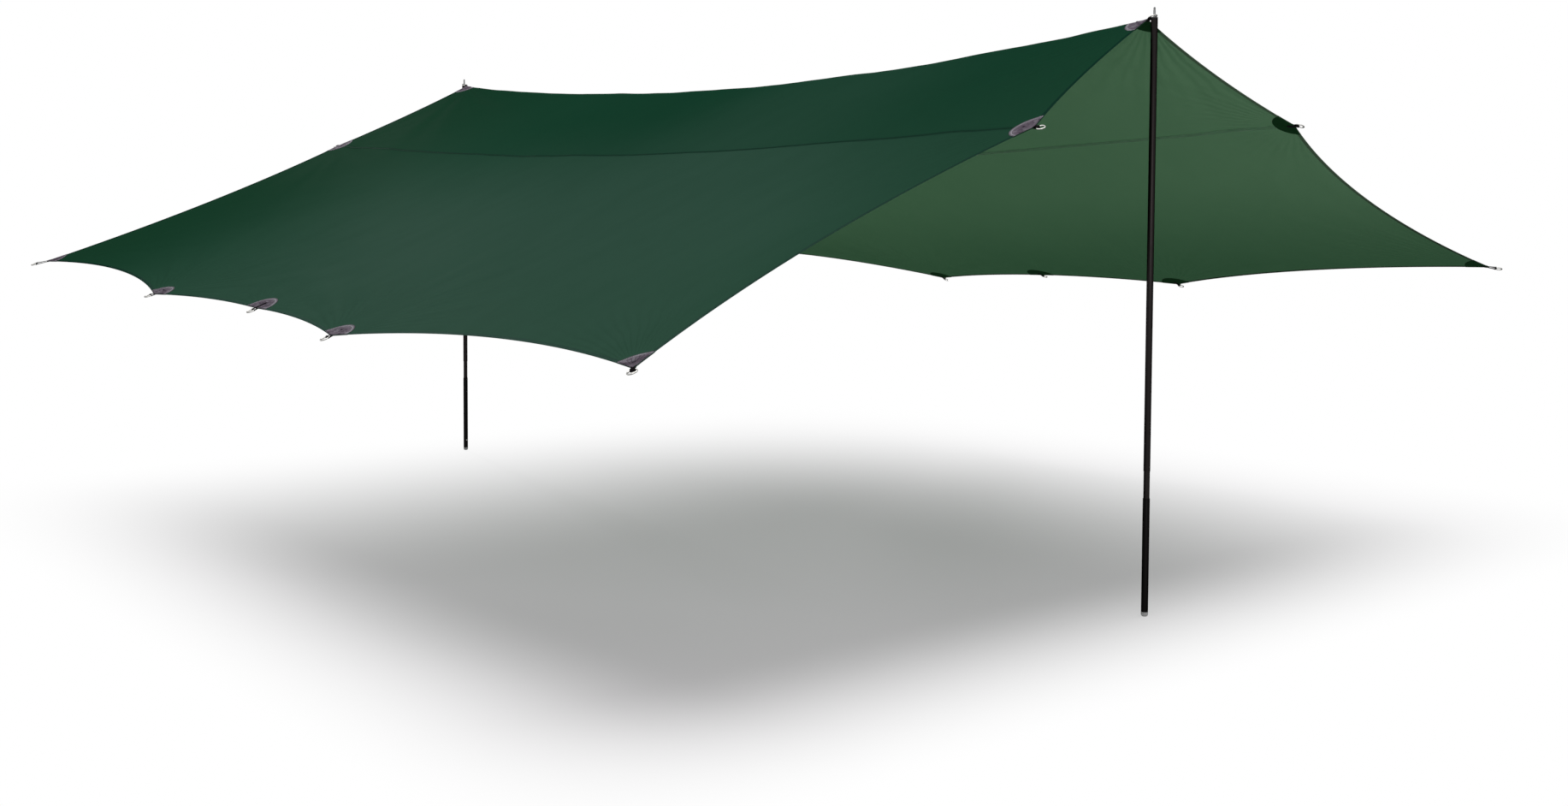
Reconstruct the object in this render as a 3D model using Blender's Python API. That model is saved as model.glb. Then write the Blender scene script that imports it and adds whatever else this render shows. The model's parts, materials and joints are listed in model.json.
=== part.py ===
"""Square camping tarp pitched on two telescopic poles.

Units are metres and +Z is up. The origin is on the ground, midway between the feet of the poles.
The ridge runs along Y, with the front pole at -Y and the left side of the cloth at -X.
"""

from math import atan2, cos, hypot, pi, radians, sin, sqrt

import bmesh
import bpy
import numpy as np
from mathutils import Matrix, Vector
from mathutils.bvhtree import BVHTree

# Clearances between neighbouring pieces
GAP = 0.0003
SOFT_GAP = 0.0004

# Cloth
CLOTH_THICKNESS = 0.0008
SEAM_TAPE_WIDTH = 0.024
SEAM_TAPE_THICKNESS = 0.0005
SEAM_TAPE_SETBACK = 0.25

# Where the cloth is held, measured from the middle of the pitch
POLE_OFFSET = 2.139
CAP_TOP = 1.859
CORNER_X = 1.996
CORNER_Y = 2.219
GABLE_X = 0.643
GABLE_Y = 2.225
SIDE_X = 2.048
SIDE_Y = 0.743
CORNER_HEIGHT = {"front_left": 0.910, "front_right": 1.048, "back_left": 1.006, "back_right": 0.985}
GABLE_HEIGHT = {"front_left": 1.500, "front_right": 1.545, "back_left": 1.539, "back_right": 1.534}
SIDE_HEIGHT = {"front_left": 0.887, "front_right": 0.916, "back_left": 0.937, "back_right": 0.884}

# Balance of the tension net. The cords are the hem, the ridge fold and the two sewn seams.
NET_CELLS = 30
HEM_CORD = 0.65
RIDGE_CORD = 3.83
SEAM_CORD = 0.046
LENGTHWISE_PULL = 1.207
CLOTH_WEIGHT = 1.26
MIDDLE_TAB_LOAD = {"left": 0.15, "right": 0.0}

# Rings and the webbing that holds them
RING_DIAMETER = 0.028
RING_WIRE = 0.004
WEBBING_WIDTH = 0.012
WEBBING_THICKNESS = 0.0011
WEBBING_NECK = 0.010
LONG_NECK = {"corner_back_left": 0.050, "corner_front_right": 0.024}
WEBBING_LEG = 0.030
WEBBING_SLOT = 0.0014
RING_LEAN = radians(22)
RING_RISE = 0.0018

# Reinforcement patches
PATCH_THICKNESS = 0.0008
PATCH_INSET = 0.003
HEM_PATCH_RADIUS = 0.075
CORNER_PATCH_RADIUS = 0.087
PATCH_REACH = 0.100

# Poles
MAIN_TUBE_DIAMETER = 0.0210
MAIN_TUBE_WALL = 0.0006
MAIN_TUBE_BOTTOM = 0.456
SLIDE_TUBE_WALL = 0.0008
SLIDE_TUBE_INSIDE_MAIN = 0.330
SLIDE_TUBE_INSIDE_LOWER = 0.080
LOWER_TUBE_WALL = 0.0010
LOWER_TUBE_TOP = 0.371
LOWER_TUBE_CHAMFER = 0.0006

# Pole top
CAP_FLANGE = 0.004
CAP_ROUND = 0.001
CAP_PLUG = 0.020
SPIKE_DIAMETER = 0.007
SPIKE_HEIGHT = 0.031

# Twist lock inside the main tube
LOCK_ROD_DIAMETER = 0.0062
LOCK_ROD_LENGTH = 0.024
LOCK_PLUG = 0.016
LOCK_COLLAR = 0.003
LOCK_FLANGE_DIAMETER = 0.013
LOCK_FLANGE = 0.002
LOCK_GROOVE = 0.0008

# Foot
FOOT_HEIGHT = 0.014
FOOT_RIM_RADIUS = 0.0112
FOOT_FACE_RADIUS = 0.0055
FOOT_PLUG_TOP = 0.072
RIVET_HEIGHT = 0.052
RIVET_SHANK = 0.0032
RIVET_HEAD = 0.0062
RIVET_HEAD_THICKNESS = 0.0012
RIVET_DEPTH = 0.005

# Facets
TUBE_SIDES = 24
RING_STEPS = 16
WIRE_SIDES = 6
SMALL_SIDES = 10
PATCH_STEPS = 5

# Sizes that follow from the ones above
THIRD = NET_CELLS // 3
MIDDLE = NET_CELLS // 2
WIRE_RADIUS = RING_WIRE / 2
RING_OUTER = RING_DIAMETER / 2
RING_INNER = RING_OUTER - RING_WIRE
RING_CENTRE_LINE = RING_OUTER - WIRE_RADIUS
HALF_WEBBING = WEBBING_WIDTH / 2
WIRE_NEAR = RING_OUTER
WIRE_FAR = sqrt(RING_INNER ** 2 - HALF_WEBBING ** 2)
RING_PIVOT = (WIRE_NEAR + WIRE_FAR) / 2
LOOP_BORE = (WIRE_NEAR - WIRE_FAR) / 2 + GAP
SPIKE_RADIUS = SPIKE_DIAMETER / 2
MAIN_RADIUS = MAIN_TUBE_DIAMETER / 2
MAIN_BORE = MAIN_RADIUS - MAIN_TUBE_WALL
SLIDE_RADIUS = MAIN_BORE - GAP
SLIDE_BORE = SLIDE_RADIUS - SLIDE_TUBE_WALL
LOWER_BORE = SLIDE_RADIUS + GAP
LOWER_RADIUS = LOWER_BORE + LOWER_TUBE_WALL
SLIDE_TUBE_TOP = MAIN_TUBE_BOTTOM + SLIDE_TUBE_INSIDE_MAIN
SLIDE_TUBE_BOTTOM = LOWER_TUBE_TOP - SLIDE_TUBE_INSIDE_LOWER

# The ridge ring bears on the far side of the spike, rises clear of the cap and leans down to the cloth
RIDGE_RING_OFFSET = (SPIKE_RADIUS + GAP + WIRE_RADIUS) - RING_CENTRE_LINE * cos(RING_LEAN)
RIDGE_TIP_REACH = RING_PIVOT + WEBBING_NECK
RIDGE_TIP_INSET = RIDGE_TIP_REACH * cos(RING_LEAN) - RIDGE_RING_OFFSET
RIDGE_TIP_HEIGHT = CAP_TOP + RING_RISE - RIDGE_TIP_REACH * sin(RING_LEAN)


def clear_scene():
    """Remove what the new file starts with."""
    for item in list(bpy.data.objects):
        bpy.data.objects.remove(item, do_unlink=True)


def material(name, colour, roughness, metallic=0.0):
    """A plain Principled material."""
    made = bpy.data.materials.new(name)
    made.use_nodes = True
    shader = made.node_tree.nodes["Principled BSDF"]
    shader.inputs["Base Color"].default_value = (*colour, 1.0)
    shader.inputs["Roughness"].default_value = roughness
    shader.inputs["Metallic"].default_value = metallic
    made.diffuse_color = (*colour, 1.0)
    return made


def add_object(name, bm, finish, frame=Matrix.Identity(4), smooth_angle=None):
    """Put a finished bmesh in the scene as one named piece."""
    bmesh.ops.recalc_face_normals(bm, faces=bm.faces)
    if bm.calc_volume(signed=True) < 0:
        bmesh.ops.reverse_faces(bm, faces=bm.faces)
    mesh = bpy.data.meshes.new(name)
    bm.to_mesh(mesh)
    bm.free()
    if smooth_angle is not None:
        mesh.shade_smooth()
        mesh.set_sharp_from_angle(angle=smooth_angle)
    mesh.materials.append(finish)
    piece = bpy.data.objects.new(name, mesh)
    piece.matrix_world = frame
    bpy.context.scene.collection.objects.link(piece)
    return piece


def boolean(piece, other, operation):
    """Join or cut two pieces with an exact Boolean and remove the second one."""
    step = piece.modifiers.new("join", "BOOLEAN")
    step.operation = operation
    step.solver = "EXACT"
    step.object = other
    bpy.context.view_layer.update()
    graph = bpy.context.evaluated_depsgraph_get()
    result = bpy.data.meshes.new_from_object(piece.evaluated_get(graph))
    piece.modifiers.clear()
    piece.data = result
    bpy.data.objects.remove(other, do_unlink=True)


def mapped_slab(across, along, place, triangulate=True):
    """A closed slab: a grid gets a second layer, and place(i, j, layer) says where each corner goes."""
    bm = bmesh.new()
    bmesh.ops.create_grid(bm, x_segments=across, y_segments=along, size=1.0)
    for corner in bm.verts:
        corner.co.x = round((corner.co.x + 1) / 2 * across)
        corner.co.y = round((corner.co.y + 1) / 2 * along)
    if triangulate:
        bmesh.ops.triangulate(bm, faces=bm.faces, quad_method="FIXED")
    lifted = bmesh.ops.extrude_face_region(bm, geom=bm.faces[:], use_keep_orig=True)
    top = [item for item in lifted["geom"] if isinstance(item, bmesh.types.BMVert)]
    bmesh.ops.translate(bm, verts=top, vec=(0, 0, 1))
    for corner in bm.verts:
        corner.co = place(round(corner.co.x), round(corner.co.y), round(corner.co.z))
    return bm


def turned(profile, hollow=False, sides=TUBE_SIDES):
    """Spin a profile of (radius, height) points about Z. A hollow profile closes on itself."""
    bm = bmesh.new()
    points = [bm.verts.new((radius, 0, height)) for radius, height in profile]
    ends = points[1:] + points[:1] if hollow else points[1:]
    edges = [bm.edges.new(pair) for pair in zip(points, ends)]
    bmesh.ops.spin(
        bm, geom=points + edges, cent=(0, 0, 0), axis=(0, 0, 1), dvec=(0, 0, 0),
        angle=2 * pi, steps=sides, use_merge=True, use_duplicate=False,
    )
    bmesh.ops.remove_doubles(bm, verts=bm.verts, dist=1e-6)
    return bm


# Tension net


def anchor_points():
    """Where the net is held: knot (i, j) and position, for every attachment that is pulled."""
    held = {}
    ends = {"front": (-1, 0), "back": (1, NET_CELLS)}
    sides = {"left": (-1, 0), "right": (1, NET_CELLS)}
    for end, (along, j) in ends.items():
        inset = POLE_OFFSET - RIDGE_TIP_INSET
        held["ridge_" + end] = (MIDDLE, j), Vector((0, along * inset, RIDGE_TIP_HEIGHT))
        for side, (across, i) in sides.items():
            place = end + "_" + side
            gable_i = MIDDLE + across * (MIDDLE - THIRD)
            side_j = MIDDLE + along * (MIDDLE - THIRD)
            corner = Vector((across * CORNER_X, along * CORNER_Y, CORNER_HEIGHT[place]))
            gable = Vector((across * GABLE_X, along * GABLE_Y, GABLE_HEIGHT[place]))
            edge = Vector((across * SIDE_X, along * SIDE_Y, SIDE_HEIGHT[place]))
            held["corner_" + place] = (i, j), corner
            held["gable_" + place] = (gable_i, j), gable
            held["side_" + place] = (i, side_j), edge
    return held


def thread_pull(i, j, lengthwise):
    """Force density of the thread that starts at knot (i, j)."""
    if lengthwise:
        pull = LENGTHWISE_PULL * (0.5 if i in (0, NET_CELLS) else 1.0)
        cords = {0: HEM_CORD, NET_CELLS: HEM_CORD, MIDDLE: RIDGE_CORD}
        cords[THIRD] = SEAM_CORD
        cords[NET_CELLS - THIRD] = SEAM_CORD
        return pull + cords.get(i, 0.0) * NET_CELLS
    pull = 0.5 if j in (0, NET_CELLS) else 1.0
    return pull + (HEM_CORD * NET_CELLS if j in (0, NET_CELLS) else 0.0)


def tension_net(held):
    """Shape of the pitched cloth by the force density method, and the outward pull at each anchor.

    Every thread pulls in proportion to its length, so the balance of the free knots is one set of
    linear equations.
    """
    side_knots = NET_CELLS + 1
    stiffness = np.zeros((side_knots ** 2, side_knots ** 2))
    for i in range(side_knots):
        for j in range(side_knots):
            for step_i, step_j in ((1, 0), (0, 1)):
                if i + step_i > NET_CELLS or j + step_j > NET_CELLS:
                    continue
                density = thread_pull(i, j, lengthwise=step_j == 1)
                a = i * side_knots + j
                b = (i + step_i) * side_knots + j + step_j
                stiffness[a, a] += density
                stiffness[b, b] += density
                stiffness[a, b] -= density
                stiffness[b, a] -= density
    knots = np.zeros((side_knots ** 2, 3))
    fixed = []
    for (i, j), position in held.values():
        fixed.append(i * side_knots + j)
        knots[fixed[-1]] = position
    free = np.setdiff1d(np.arange(side_knots ** 2), fixed)
    load = -stiffness[np.ix_(free, fixed)] @ knots[fixed]
    load[:, 2] -= CLOTH_WEIGHT / NET_CELLS ** 2
    for side, i in (("left", 0), ("right", NET_CELLS)):
        load[free == i * side_knots + MIDDLE, 2] -= MIDDLE_TAB_LOAD[side]
    knots[free] = np.linalg.solve(stiffness[np.ix_(free, free)], load)
    pulls = stiffness[fixed] @ knots
    outward = {name: Vector(pull).normalized() for name, pull in zip(held, pulls)}
    return knots.reshape(side_knots, side_knots, 3), outward


def net_normals(net):
    """Upward normal at every knot."""
    across = np.gradient(net, axis=0)
    along = np.gradient(net, axis=1)
    normal = np.cross(across, along)
    return normal / np.linalg.norm(normal, axis=2, keepdims=True)


class Cloth:
    """The pitched cloth as a surface: positions and normals at any net coordinate (i, j)."""

    def __init__(self):
        self.held = anchor_points()
        self.net, self.outward = tension_net(self.held)
        self.normals = net_normals(self.net)
        self.top = None

    def sample(self, grid, i, j):
        """Bilinear value of a knot grid."""
        low_i = min(int(i), NET_CELLS - 1)
        low_j = min(int(j), NET_CELLS - 1)
        u = i - low_i
        v = j - low_j
        near = grid[low_i, low_j] * (1 - u) + grid[low_i + 1, low_j] * u
        far = grid[low_i, low_j + 1] * (1 - u) + grid[low_i + 1, low_j + 1] * u
        return Vector(near * (1 - v) + far * v)

    def point(self, i, j, height=0.0):
        """A point of the middle surface, lifted along the normal."""
        return self.sample(self.net, i, j) + self.sample(self.normals, i, j).normalized() * height

    def tape_step(self):
        """Half the seam tape's width, in net cells."""
        cell = (self.point(THIRD + 1, MIDDLE) - self.point(THIRD, MIDDLE)).length
        return SEAM_TAPE_WIDTH / 2 / cell


def lifted_sheet(cloth, columns, finish):
    """A sheet over the whole canopy at the height of the patches, with the panels' own facets."""
    low = CLOTH_THICKNESS / 2 + SOFT_GAP

    def place(i, j, layer):
        return cloth.point(columns[i], j, low + layer * PATCH_THICKNESS)

    return add_object("lifted_sheet", mapped_slab(len(columns) - 1, NET_CELLS, place), finish)


def canopy_panel(name, cloth, columns, finish):
    """One width of fabric between two lines of the net, short of its neighbours by the gap."""
    rows = list(range(NET_CELLS + 1))

    def place(i, j, layer):
        height = (layer - 0.5) * CLOTH_THICKNESS
        spot = cloth.point(columns[i], rows[j], height)
        if i == 0 and columns[0] > 0:
            spot += (cloth.point(columns[1], rows[j], height) - spot).normalized() * GAP / 2
        if i == len(columns) - 1 and columns[-1] < NET_CELLS:
            spot += (cloth.point(columns[-2], rows[j], height) - spot).normalized() * GAP / 2
        return spot

    bm = mapped_slab(len(columns) - 1, len(rows) - 1, place)
    return add_object(name, bm, finish, smooth_angle=radians(30))


def seam_tape(name, cloth, seam, finish):
    """Sealing tape along the underside of one seam, stopping short of both hems."""
    step = cloth.tape_step()
    columns = [seam - step, seam, seam + step]
    rows = [SEAM_TAPE_SETBACK] + list(range(1, NET_CELLS)) + [NET_CELLS - SEAM_TAPE_SETBACK]
    face = CLOTH_THICKNESS / 2 + SOFT_GAP

    def place(i, j, layer):
        return cloth.point(columns[i], rows[j], -face - layer * SEAM_TAPE_THICKNESS)

    bm = mapped_slab(len(columns) - 1, len(rows) - 1, place)
    return add_object(name, bm, finish, smooth_angle=radians(30))


# Attachments: patch, webbing loop and ring


def attachment_frame(cloth, name, knot, outward=None):
    """Axes at a cloth tip: X outward along the pull, Y along the hem, Z up out of the cloth."""
    i, j = knot
    tip = cloth.point(i, j)
    normal = cloth.sample(cloth.normals, i, j)
    if outward is None:
        outward = (tip - cloth.point(abs(i - 1), j)).normalized()
    if name.startswith("ridge"):
        along = -1 if j == 0 else 1
        normal = Vector((0, 0, 1))
        outward = Vector((0, along * cos(RING_LEAN), sin(RING_LEAN)))
    lateral = normal.cross(outward).normalized()
    normal = outward.cross(lateral).normalized()
    axes = Matrix((outward, lateral, normal)).transposed().to_4x4()
    axes.translation = tip
    return axes


def hem_lines(cloth, frame, knot):
    """The next knot along the hem on the +Y and on the -Y side of the tip, in the frame's axes."""
    i, j = knot
    lines = {}
    for near_i, near_j in ((i - 1, j), (i + 1, j), (i, j - 1), (i, j + 1)):
        inside = 0 <= near_i <= NET_CELLS and 0 <= near_j <= NET_CELLS
        on_hem = near_i in (0, NET_CELLS) or near_j in (0, NET_CELLS)
        if inside and on_hem:
            local = frame.inverted() @ cloth.point(near_i, near_j)
            lines[local.y < 0] = local
    return lines[False], lines[True]


def drop_on_cloth(cloth, frame, inward, sideways):
    """Height of the cloth's upper face over the frame's plane, at a distance from the tip."""
    start = frame @ Vector((-inward, sideways, 0.1))
    down = -frame.col[2].xyz
    hit = cloth.top.ray_cast(start, down)[0]
    if hit is None:
        hit = cloth.top.find_nearest(frame @ Vector((-inward, sideways, 0)))[0]
    return (frame.inverted() @ hit).z


def patch_outline(hems, radius):
    """Round patch centred on the tip: a half disc on a straight hem, a quarter disc in a corner.

    Its outline keeps an inset from the hem, and is narrower as seen from above where the cloth slopes.
    """
    sides = []
    for hem in hems:
        across = hypot(hem.y, hem.z)
        limit = min(atan2(across, -hem.x), pi / 2) - PATCH_INSET / radius
        turns = [limit * step / PATCH_STEPS for step in range(PATCH_STEPS + 1)]
        sides.append([(-radius * cos(turn), radius * sin(turn) * hem.y / across) for turn in turns])
    return [(-PATCH_INSET, 0)] + sides[0][::-1] + sides[1][1:]


def patch(sheet, outline, name, finish, frame):
    """The part of the lifted sheet inside an outline."""
    bm = bmesh.new()
    face = bm.faces.new([bm.verts.new((x, y, -PATCH_REACH)) for x, y in outline])
    swept = bmesh.ops.extrude_face_region(bm, geom=[face], use_keep_orig=True)
    moved = [item for item in swept["geom"] if isinstance(item, bmesh.types.BMVert)]
    bmesh.ops.translate(bm, verts=moved, vec=(0, 0, PATCH_REACH * 2))
    punch = add_object("punch", bm, finish, frame)
    made = bpy.data.objects.new(name, sheet.data.copy())
    bpy.context.scene.collection.objects.link(made)
    boolean(made, punch, "INTERSECT")
    made.data.transform(frame.inverted())
    made.data.materials.clear()
    made.data.materials.append(finish)
    made.matrix_world = frame
    return made


def webbing_loop(cloth, frame, neck):
    """Webbing folded round the ring wire, with a leg on each face of the cloth."""
    reach = WEBBING_LEG / 2
    sides = [drop_on_cloth(cloth, frame, reach, way * HALF_WEBBING) for way in (-1, 1)]
    crest = drop_on_cloth(cloth, frame, reach, 0)
    bend = atan2(crest - CLOTH_THICKNESS / 2, reach)
    under = WEBBING_SLOT + max(0.0, crest - min(sides))
    outer = LOOP_BORE + WEBBING_THICKNESS
    facet = cos(pi / 12)

    def leg(length, height):
        return -length * cos(bend) - height * sin(bend), -length * -sin(bend) + height * cos(bend)

    def arc(radius, turn):
        angle = radians(turn)
        return neck + radius / facet * cos(angle), radius / facet * sin(angle)

    outline = [leg(WEBBING_LEG, WEBBING_SLOT + WEBBING_THICKNESS), leg(0, WEBBING_SLOT + WEBBING_THICKNESS)]
    outline += [arc(outer, turn) for turn in range(120, -121, -30)]
    outline += [leg(0, -under - WEBBING_THICKNESS), leg(reach, -under - WEBBING_THICKNESS)]
    outline += [leg(reach, -under), leg(0, -under)]
    outline += [arc(LOOP_BORE, turn) for turn in range(-150, 151, 30)]
    outline += [leg(0, WEBBING_SLOT), leg(WEBBING_LEG, WEBBING_SLOT)]
    bm = bmesh.new()
    face = bm.faces.new([bm.verts.new((x, -HALF_WEBBING, z)) for x, z in outline])
    swept = bmesh.ops.extrude_face_region(bm, geom=[face], use_keep_orig=True)
    moved = [item for item in swept["geom"] if isinstance(item, bmesh.types.BMVert)]
    bmesh.ops.translate(bm, verts=moved, vec=(0, WEBBING_WIDTH, 0))
    return bm


def ring():
    """Round wire ring. Its hinge line, through the webbing loop, is the local Y axis."""
    bm = bmesh.new()
    turn = Matrix.Translation((RING_PIVOT + RING_CENTRE_LINE, 0, 0)) @ Matrix.Rotation(pi / 2, 4, "X")
    bmesh.ops.create_circle(bm, segments=WIRE_SIDES, radius=WIRE_RADIUS, matrix=turn)
    bmesh.ops.spin(
        bm, geom=bm.verts[:] + bm.edges[:], cent=(RING_PIVOT, 0, 0), axis=(0, 0, 1), dvec=(0, 0, 0),
        angle=2 * pi, steps=RING_STEPS, use_merge=True, use_duplicate=False,
    )
    bmesh.ops.remove_doubles(bm, verts=bm.verts, dist=1e-6)
    return bm


def attachment(cloth, sheet, name, knot, outward, finishes):
    """One patch with its webbing loop, and the ring in it."""
    frame = attachment_frame(cloth, name, knot, outward)
    radius = CORNER_PATCH_RADIUS if name.startswith("corner") else HEM_PATCH_RADIUS
    outline = patch_outline(hem_lines(cloth, frame, knot), radius)
    tab = patch(sheet, outline, "tab_" + name, finishes["patch"], frame)
    neck = LONG_NECK.get(name, WEBBING_NECK)
    loop = add_object("loop_" + name, webbing_loop(cloth, frame, neck), finishes["webbing"], frame)
    boolean(tab, loop, "UNION")
    hinge = frame @ Matrix.Translation((neck, 0, 0))
    add_object("ring_" + name, ring(), finishes["steel"], hinge, smooth_angle=radians(80))


# Poles


def pole_top_cap():
    """Plastic cap: a plug in the main tube, a flange with a rounded rim and a bore for the spike."""
    bore = SPIKE_RADIUS + GAP
    plug = MAIN_BORE - GAP
    under = CAP_TOP - CAP_FLANGE
    profile = [
        (bore, CAP_TOP), (MAIN_RADIUS - CAP_ROUND, CAP_TOP), (MAIN_RADIUS, CAP_TOP - CAP_ROUND),
        (MAIN_RADIUS, under), (plug, under), (plug, under - CAP_PLUG), (bore, under - CAP_PLUG),
    ]
    return turned(profile, hollow=True)


def spike():
    """Steel pin with a rounded nose, seated in the cap."""
    bottom = CAP_TOP - CAP_PLUG
    nose = CAP_TOP + SPIKE_HEIGHT
    profile = [
        (0, nose), (SPIKE_RADIUS * 0.45, nose - SPIKE_RADIUS * 0.12), (SPIKE_RADIUS * 0.8, nose - SPIKE_RADIUS * 0.6),
        (SPIKE_RADIUS, nose - SPIKE_RADIUS * 1.6), (SPIKE_RADIUS, bottom), (0, bottom),
    ]
    return turned(profile, sides=12)


def tube(radius, bore, bottom, top, chamfer=0.0):
    """A straight tube, with an outer chamfer at its top end where one is given."""
    profile = [(radius - chamfer, top)]
    if chamfer:
        profile.append((radius, top - 2 * chamfer))
    profile += [(radius, bottom), (bore, bottom), (bore, top)]
    return turned(profile, hollow=True)


def lock_screw():
    """Plug in the top of the slide tube, with the rod that carries the lock sleeve."""
    plug = SLIDE_BORE - GAP
    rod = LOCK_ROD_DIAMETER / 2
    seat = SLIDE_TUBE_TOP + GAP
    collar = seat + LOCK_COLLAR
    end = collar + LOCK_ROD_LENGTH
    wide = SLIDE_RADIUS - GAP
    flange = LOCK_FLANGE_DIAMETER / 2
    profile = [
        (0, end + LOCK_FLANGE), (flange, end + LOCK_FLANGE), (flange, end), (rod, end), (rod, collar),
        (wide, collar), (wide, seat), (plug, seat), (plug, seat - LOCK_PLUG), (0, seat - LOCK_PLUG),
    ]
    return turned(profile)


def lock_sleeve():
    """Grooved sleeve round the lock rod, which grips the bore of the main tube."""
    low = SLIDE_TUBE_TOP + GAP + LOCK_COLLAR + GAP
    high = low + LOCK_ROD_LENGTH - 2 * GAP
    bore = LOCK_ROD_DIAMETER / 2 + GAP
    grip = SLIDE_RADIUS
    groove = grip - LOCK_GROOVE
    step = (high - low) / 5
    profile = [(bore, high), (grip, high), (grip, high - step), (groove, high - step), (groove, high - 2 * step)]
    profile += [(grip, high - 2 * step), (grip, low + 2 * step), (groove, low + 2 * step), (groove, low + step)]
    profile += [(grip, low + step), (grip, low), (bore, low)]
    return turned(profile, hollow=True)


def foot_cap():
    """Rounded foot with a flat face on the ground and a plug in the lower tube."""
    plug = LOWER_BORE - GAP
    crown = FOOT_RIM_RADIUS - FOOT_FACE_RADIUS
    profile = [(0, FOOT_PLUG_TOP), (plug, FOOT_PLUG_TOP), (plug, FOOT_HEIGHT), (FOOT_RIM_RADIUS, FOOT_HEIGHT)]
    for step in range(5):
        turn = pi / 2 * step / 4
        profile.append((FOOT_FACE_RADIUS + crown * cos(turn), FOOT_HEIGHT * 0.6 * (1 - sin(turn))))
    profile.append((0, 0))
    return turned(profile)


def rivet(head_face):
    """Mushroom rivet along +X, with the underside of its head at the given distance from the axis."""
    shank = RIVET_SHANK / 2
    head = RIVET_HEAD / 2
    top = head_face + RIVET_HEAD_THICKNESS
    profile = [
        (0, top), (head * 0.6, top - RIVET_HEAD_THICKNESS * 0.25), (head, top - RIVET_HEAD_THICKNESS * 0.8),
        (head, head_face), (shank, head_face), (shank, head_face - RIVET_DEPTH), (0, head_face - RIVET_DEPTH),
    ]
    bm = turned(profile, sides=SMALL_SIDES)
    bmesh.ops.rotate(bm, cent=(0, 0, 0), matrix=Matrix.Rotation(pi / 2, 3, "Y"), verts=bm.verts)
    return bm


def rivet_hole(bottom):
    """Cutter for the rivet's hole, from a depth inside the tube to well outside it."""
    radius = (RIVET_SHANK / 2 + GAP) / cos(pi / SMALL_SIDES)
    bm = turned([(0, LOWER_RADIUS * 2), (radius, LOWER_RADIUS * 2), (radius, bottom), (0, bottom)], sides=SMALL_SIDES)
    bmesh.ops.rotate(bm, cent=(0, 0, 0), matrix=Matrix.Rotation(pi / 2, 3, "Y"), verts=bm.verts)
    return bm


def pole(end, along, finishes):
    """A telescopic pole. Its pieces hang from an empty where the ridge ring lets it tilt."""
    base = Matrix.Translation((0, along * POLE_OFFSET, 0))
    tilt = bpy.data.objects.new("tilt_" + end, None)
    tilt.matrix_world = base @ Matrix.Translation((0, 0, CAP_TOP))
    bpy.context.scene.collection.objects.link(tilt)
    inward = base @ Matrix.Translation((0, 0, RIVET_HEIGHT)) @ Matrix.Rotation(-along * pi / 2, 4, "Z")
    head_face = LOWER_RADIUS + GAP

    def add(name, bm, finish, frame=base):
        piece = add_object(name + "_" + end, bm, finishes[finish], frame, smooth_angle=radians(40))
        piece.parent = tilt
        piece.matrix_parent_inverse = tilt.matrix_world.inverted()
        return piece

    add("pole_top_cap", pole_top_cap(), "black_plastic")
    add("pole_spike", spike(), "steel")
    main_top = CAP_TOP - CAP_FLANGE - GAP
    add("pole_main_tube", tube(MAIN_RADIUS, MAIN_BORE, MAIN_TUBE_BOTTOM, main_top), "grey_tube")
    slide = tube(SLIDE_RADIUS, SLIDE_BORE, SLIDE_TUBE_BOTTOM, SLIDE_TUBE_TOP)
    add("pole_slide_tube", slide, "grey_tube")
    add("pole_lock_screw", lock_screw(), "steel")
    add("pole_lock_sleeve", lock_sleeve(), "black_plastic")
    lower = tube(LOWER_RADIUS, LOWER_BORE, FOOT_HEIGHT + GAP, LOWER_TUBE_TOP, LOWER_TUBE_CHAMFER)
    lower_tube = add("pole_lower_tube", lower, "black_tube")
    foot = add("pole_foot_cap", foot_cap(), "foot_plastic")
    for piece in (lower_tube, foot):
        cutter = add_object("hole", rivet_hole(head_face - RIVET_DEPTH - GAP), finishes["steel"], inward)
        boolean(piece, cutter, "DIFFERENCE")
    add("pole_foot_rivet", rivet(head_face), "steel", inward)


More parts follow.
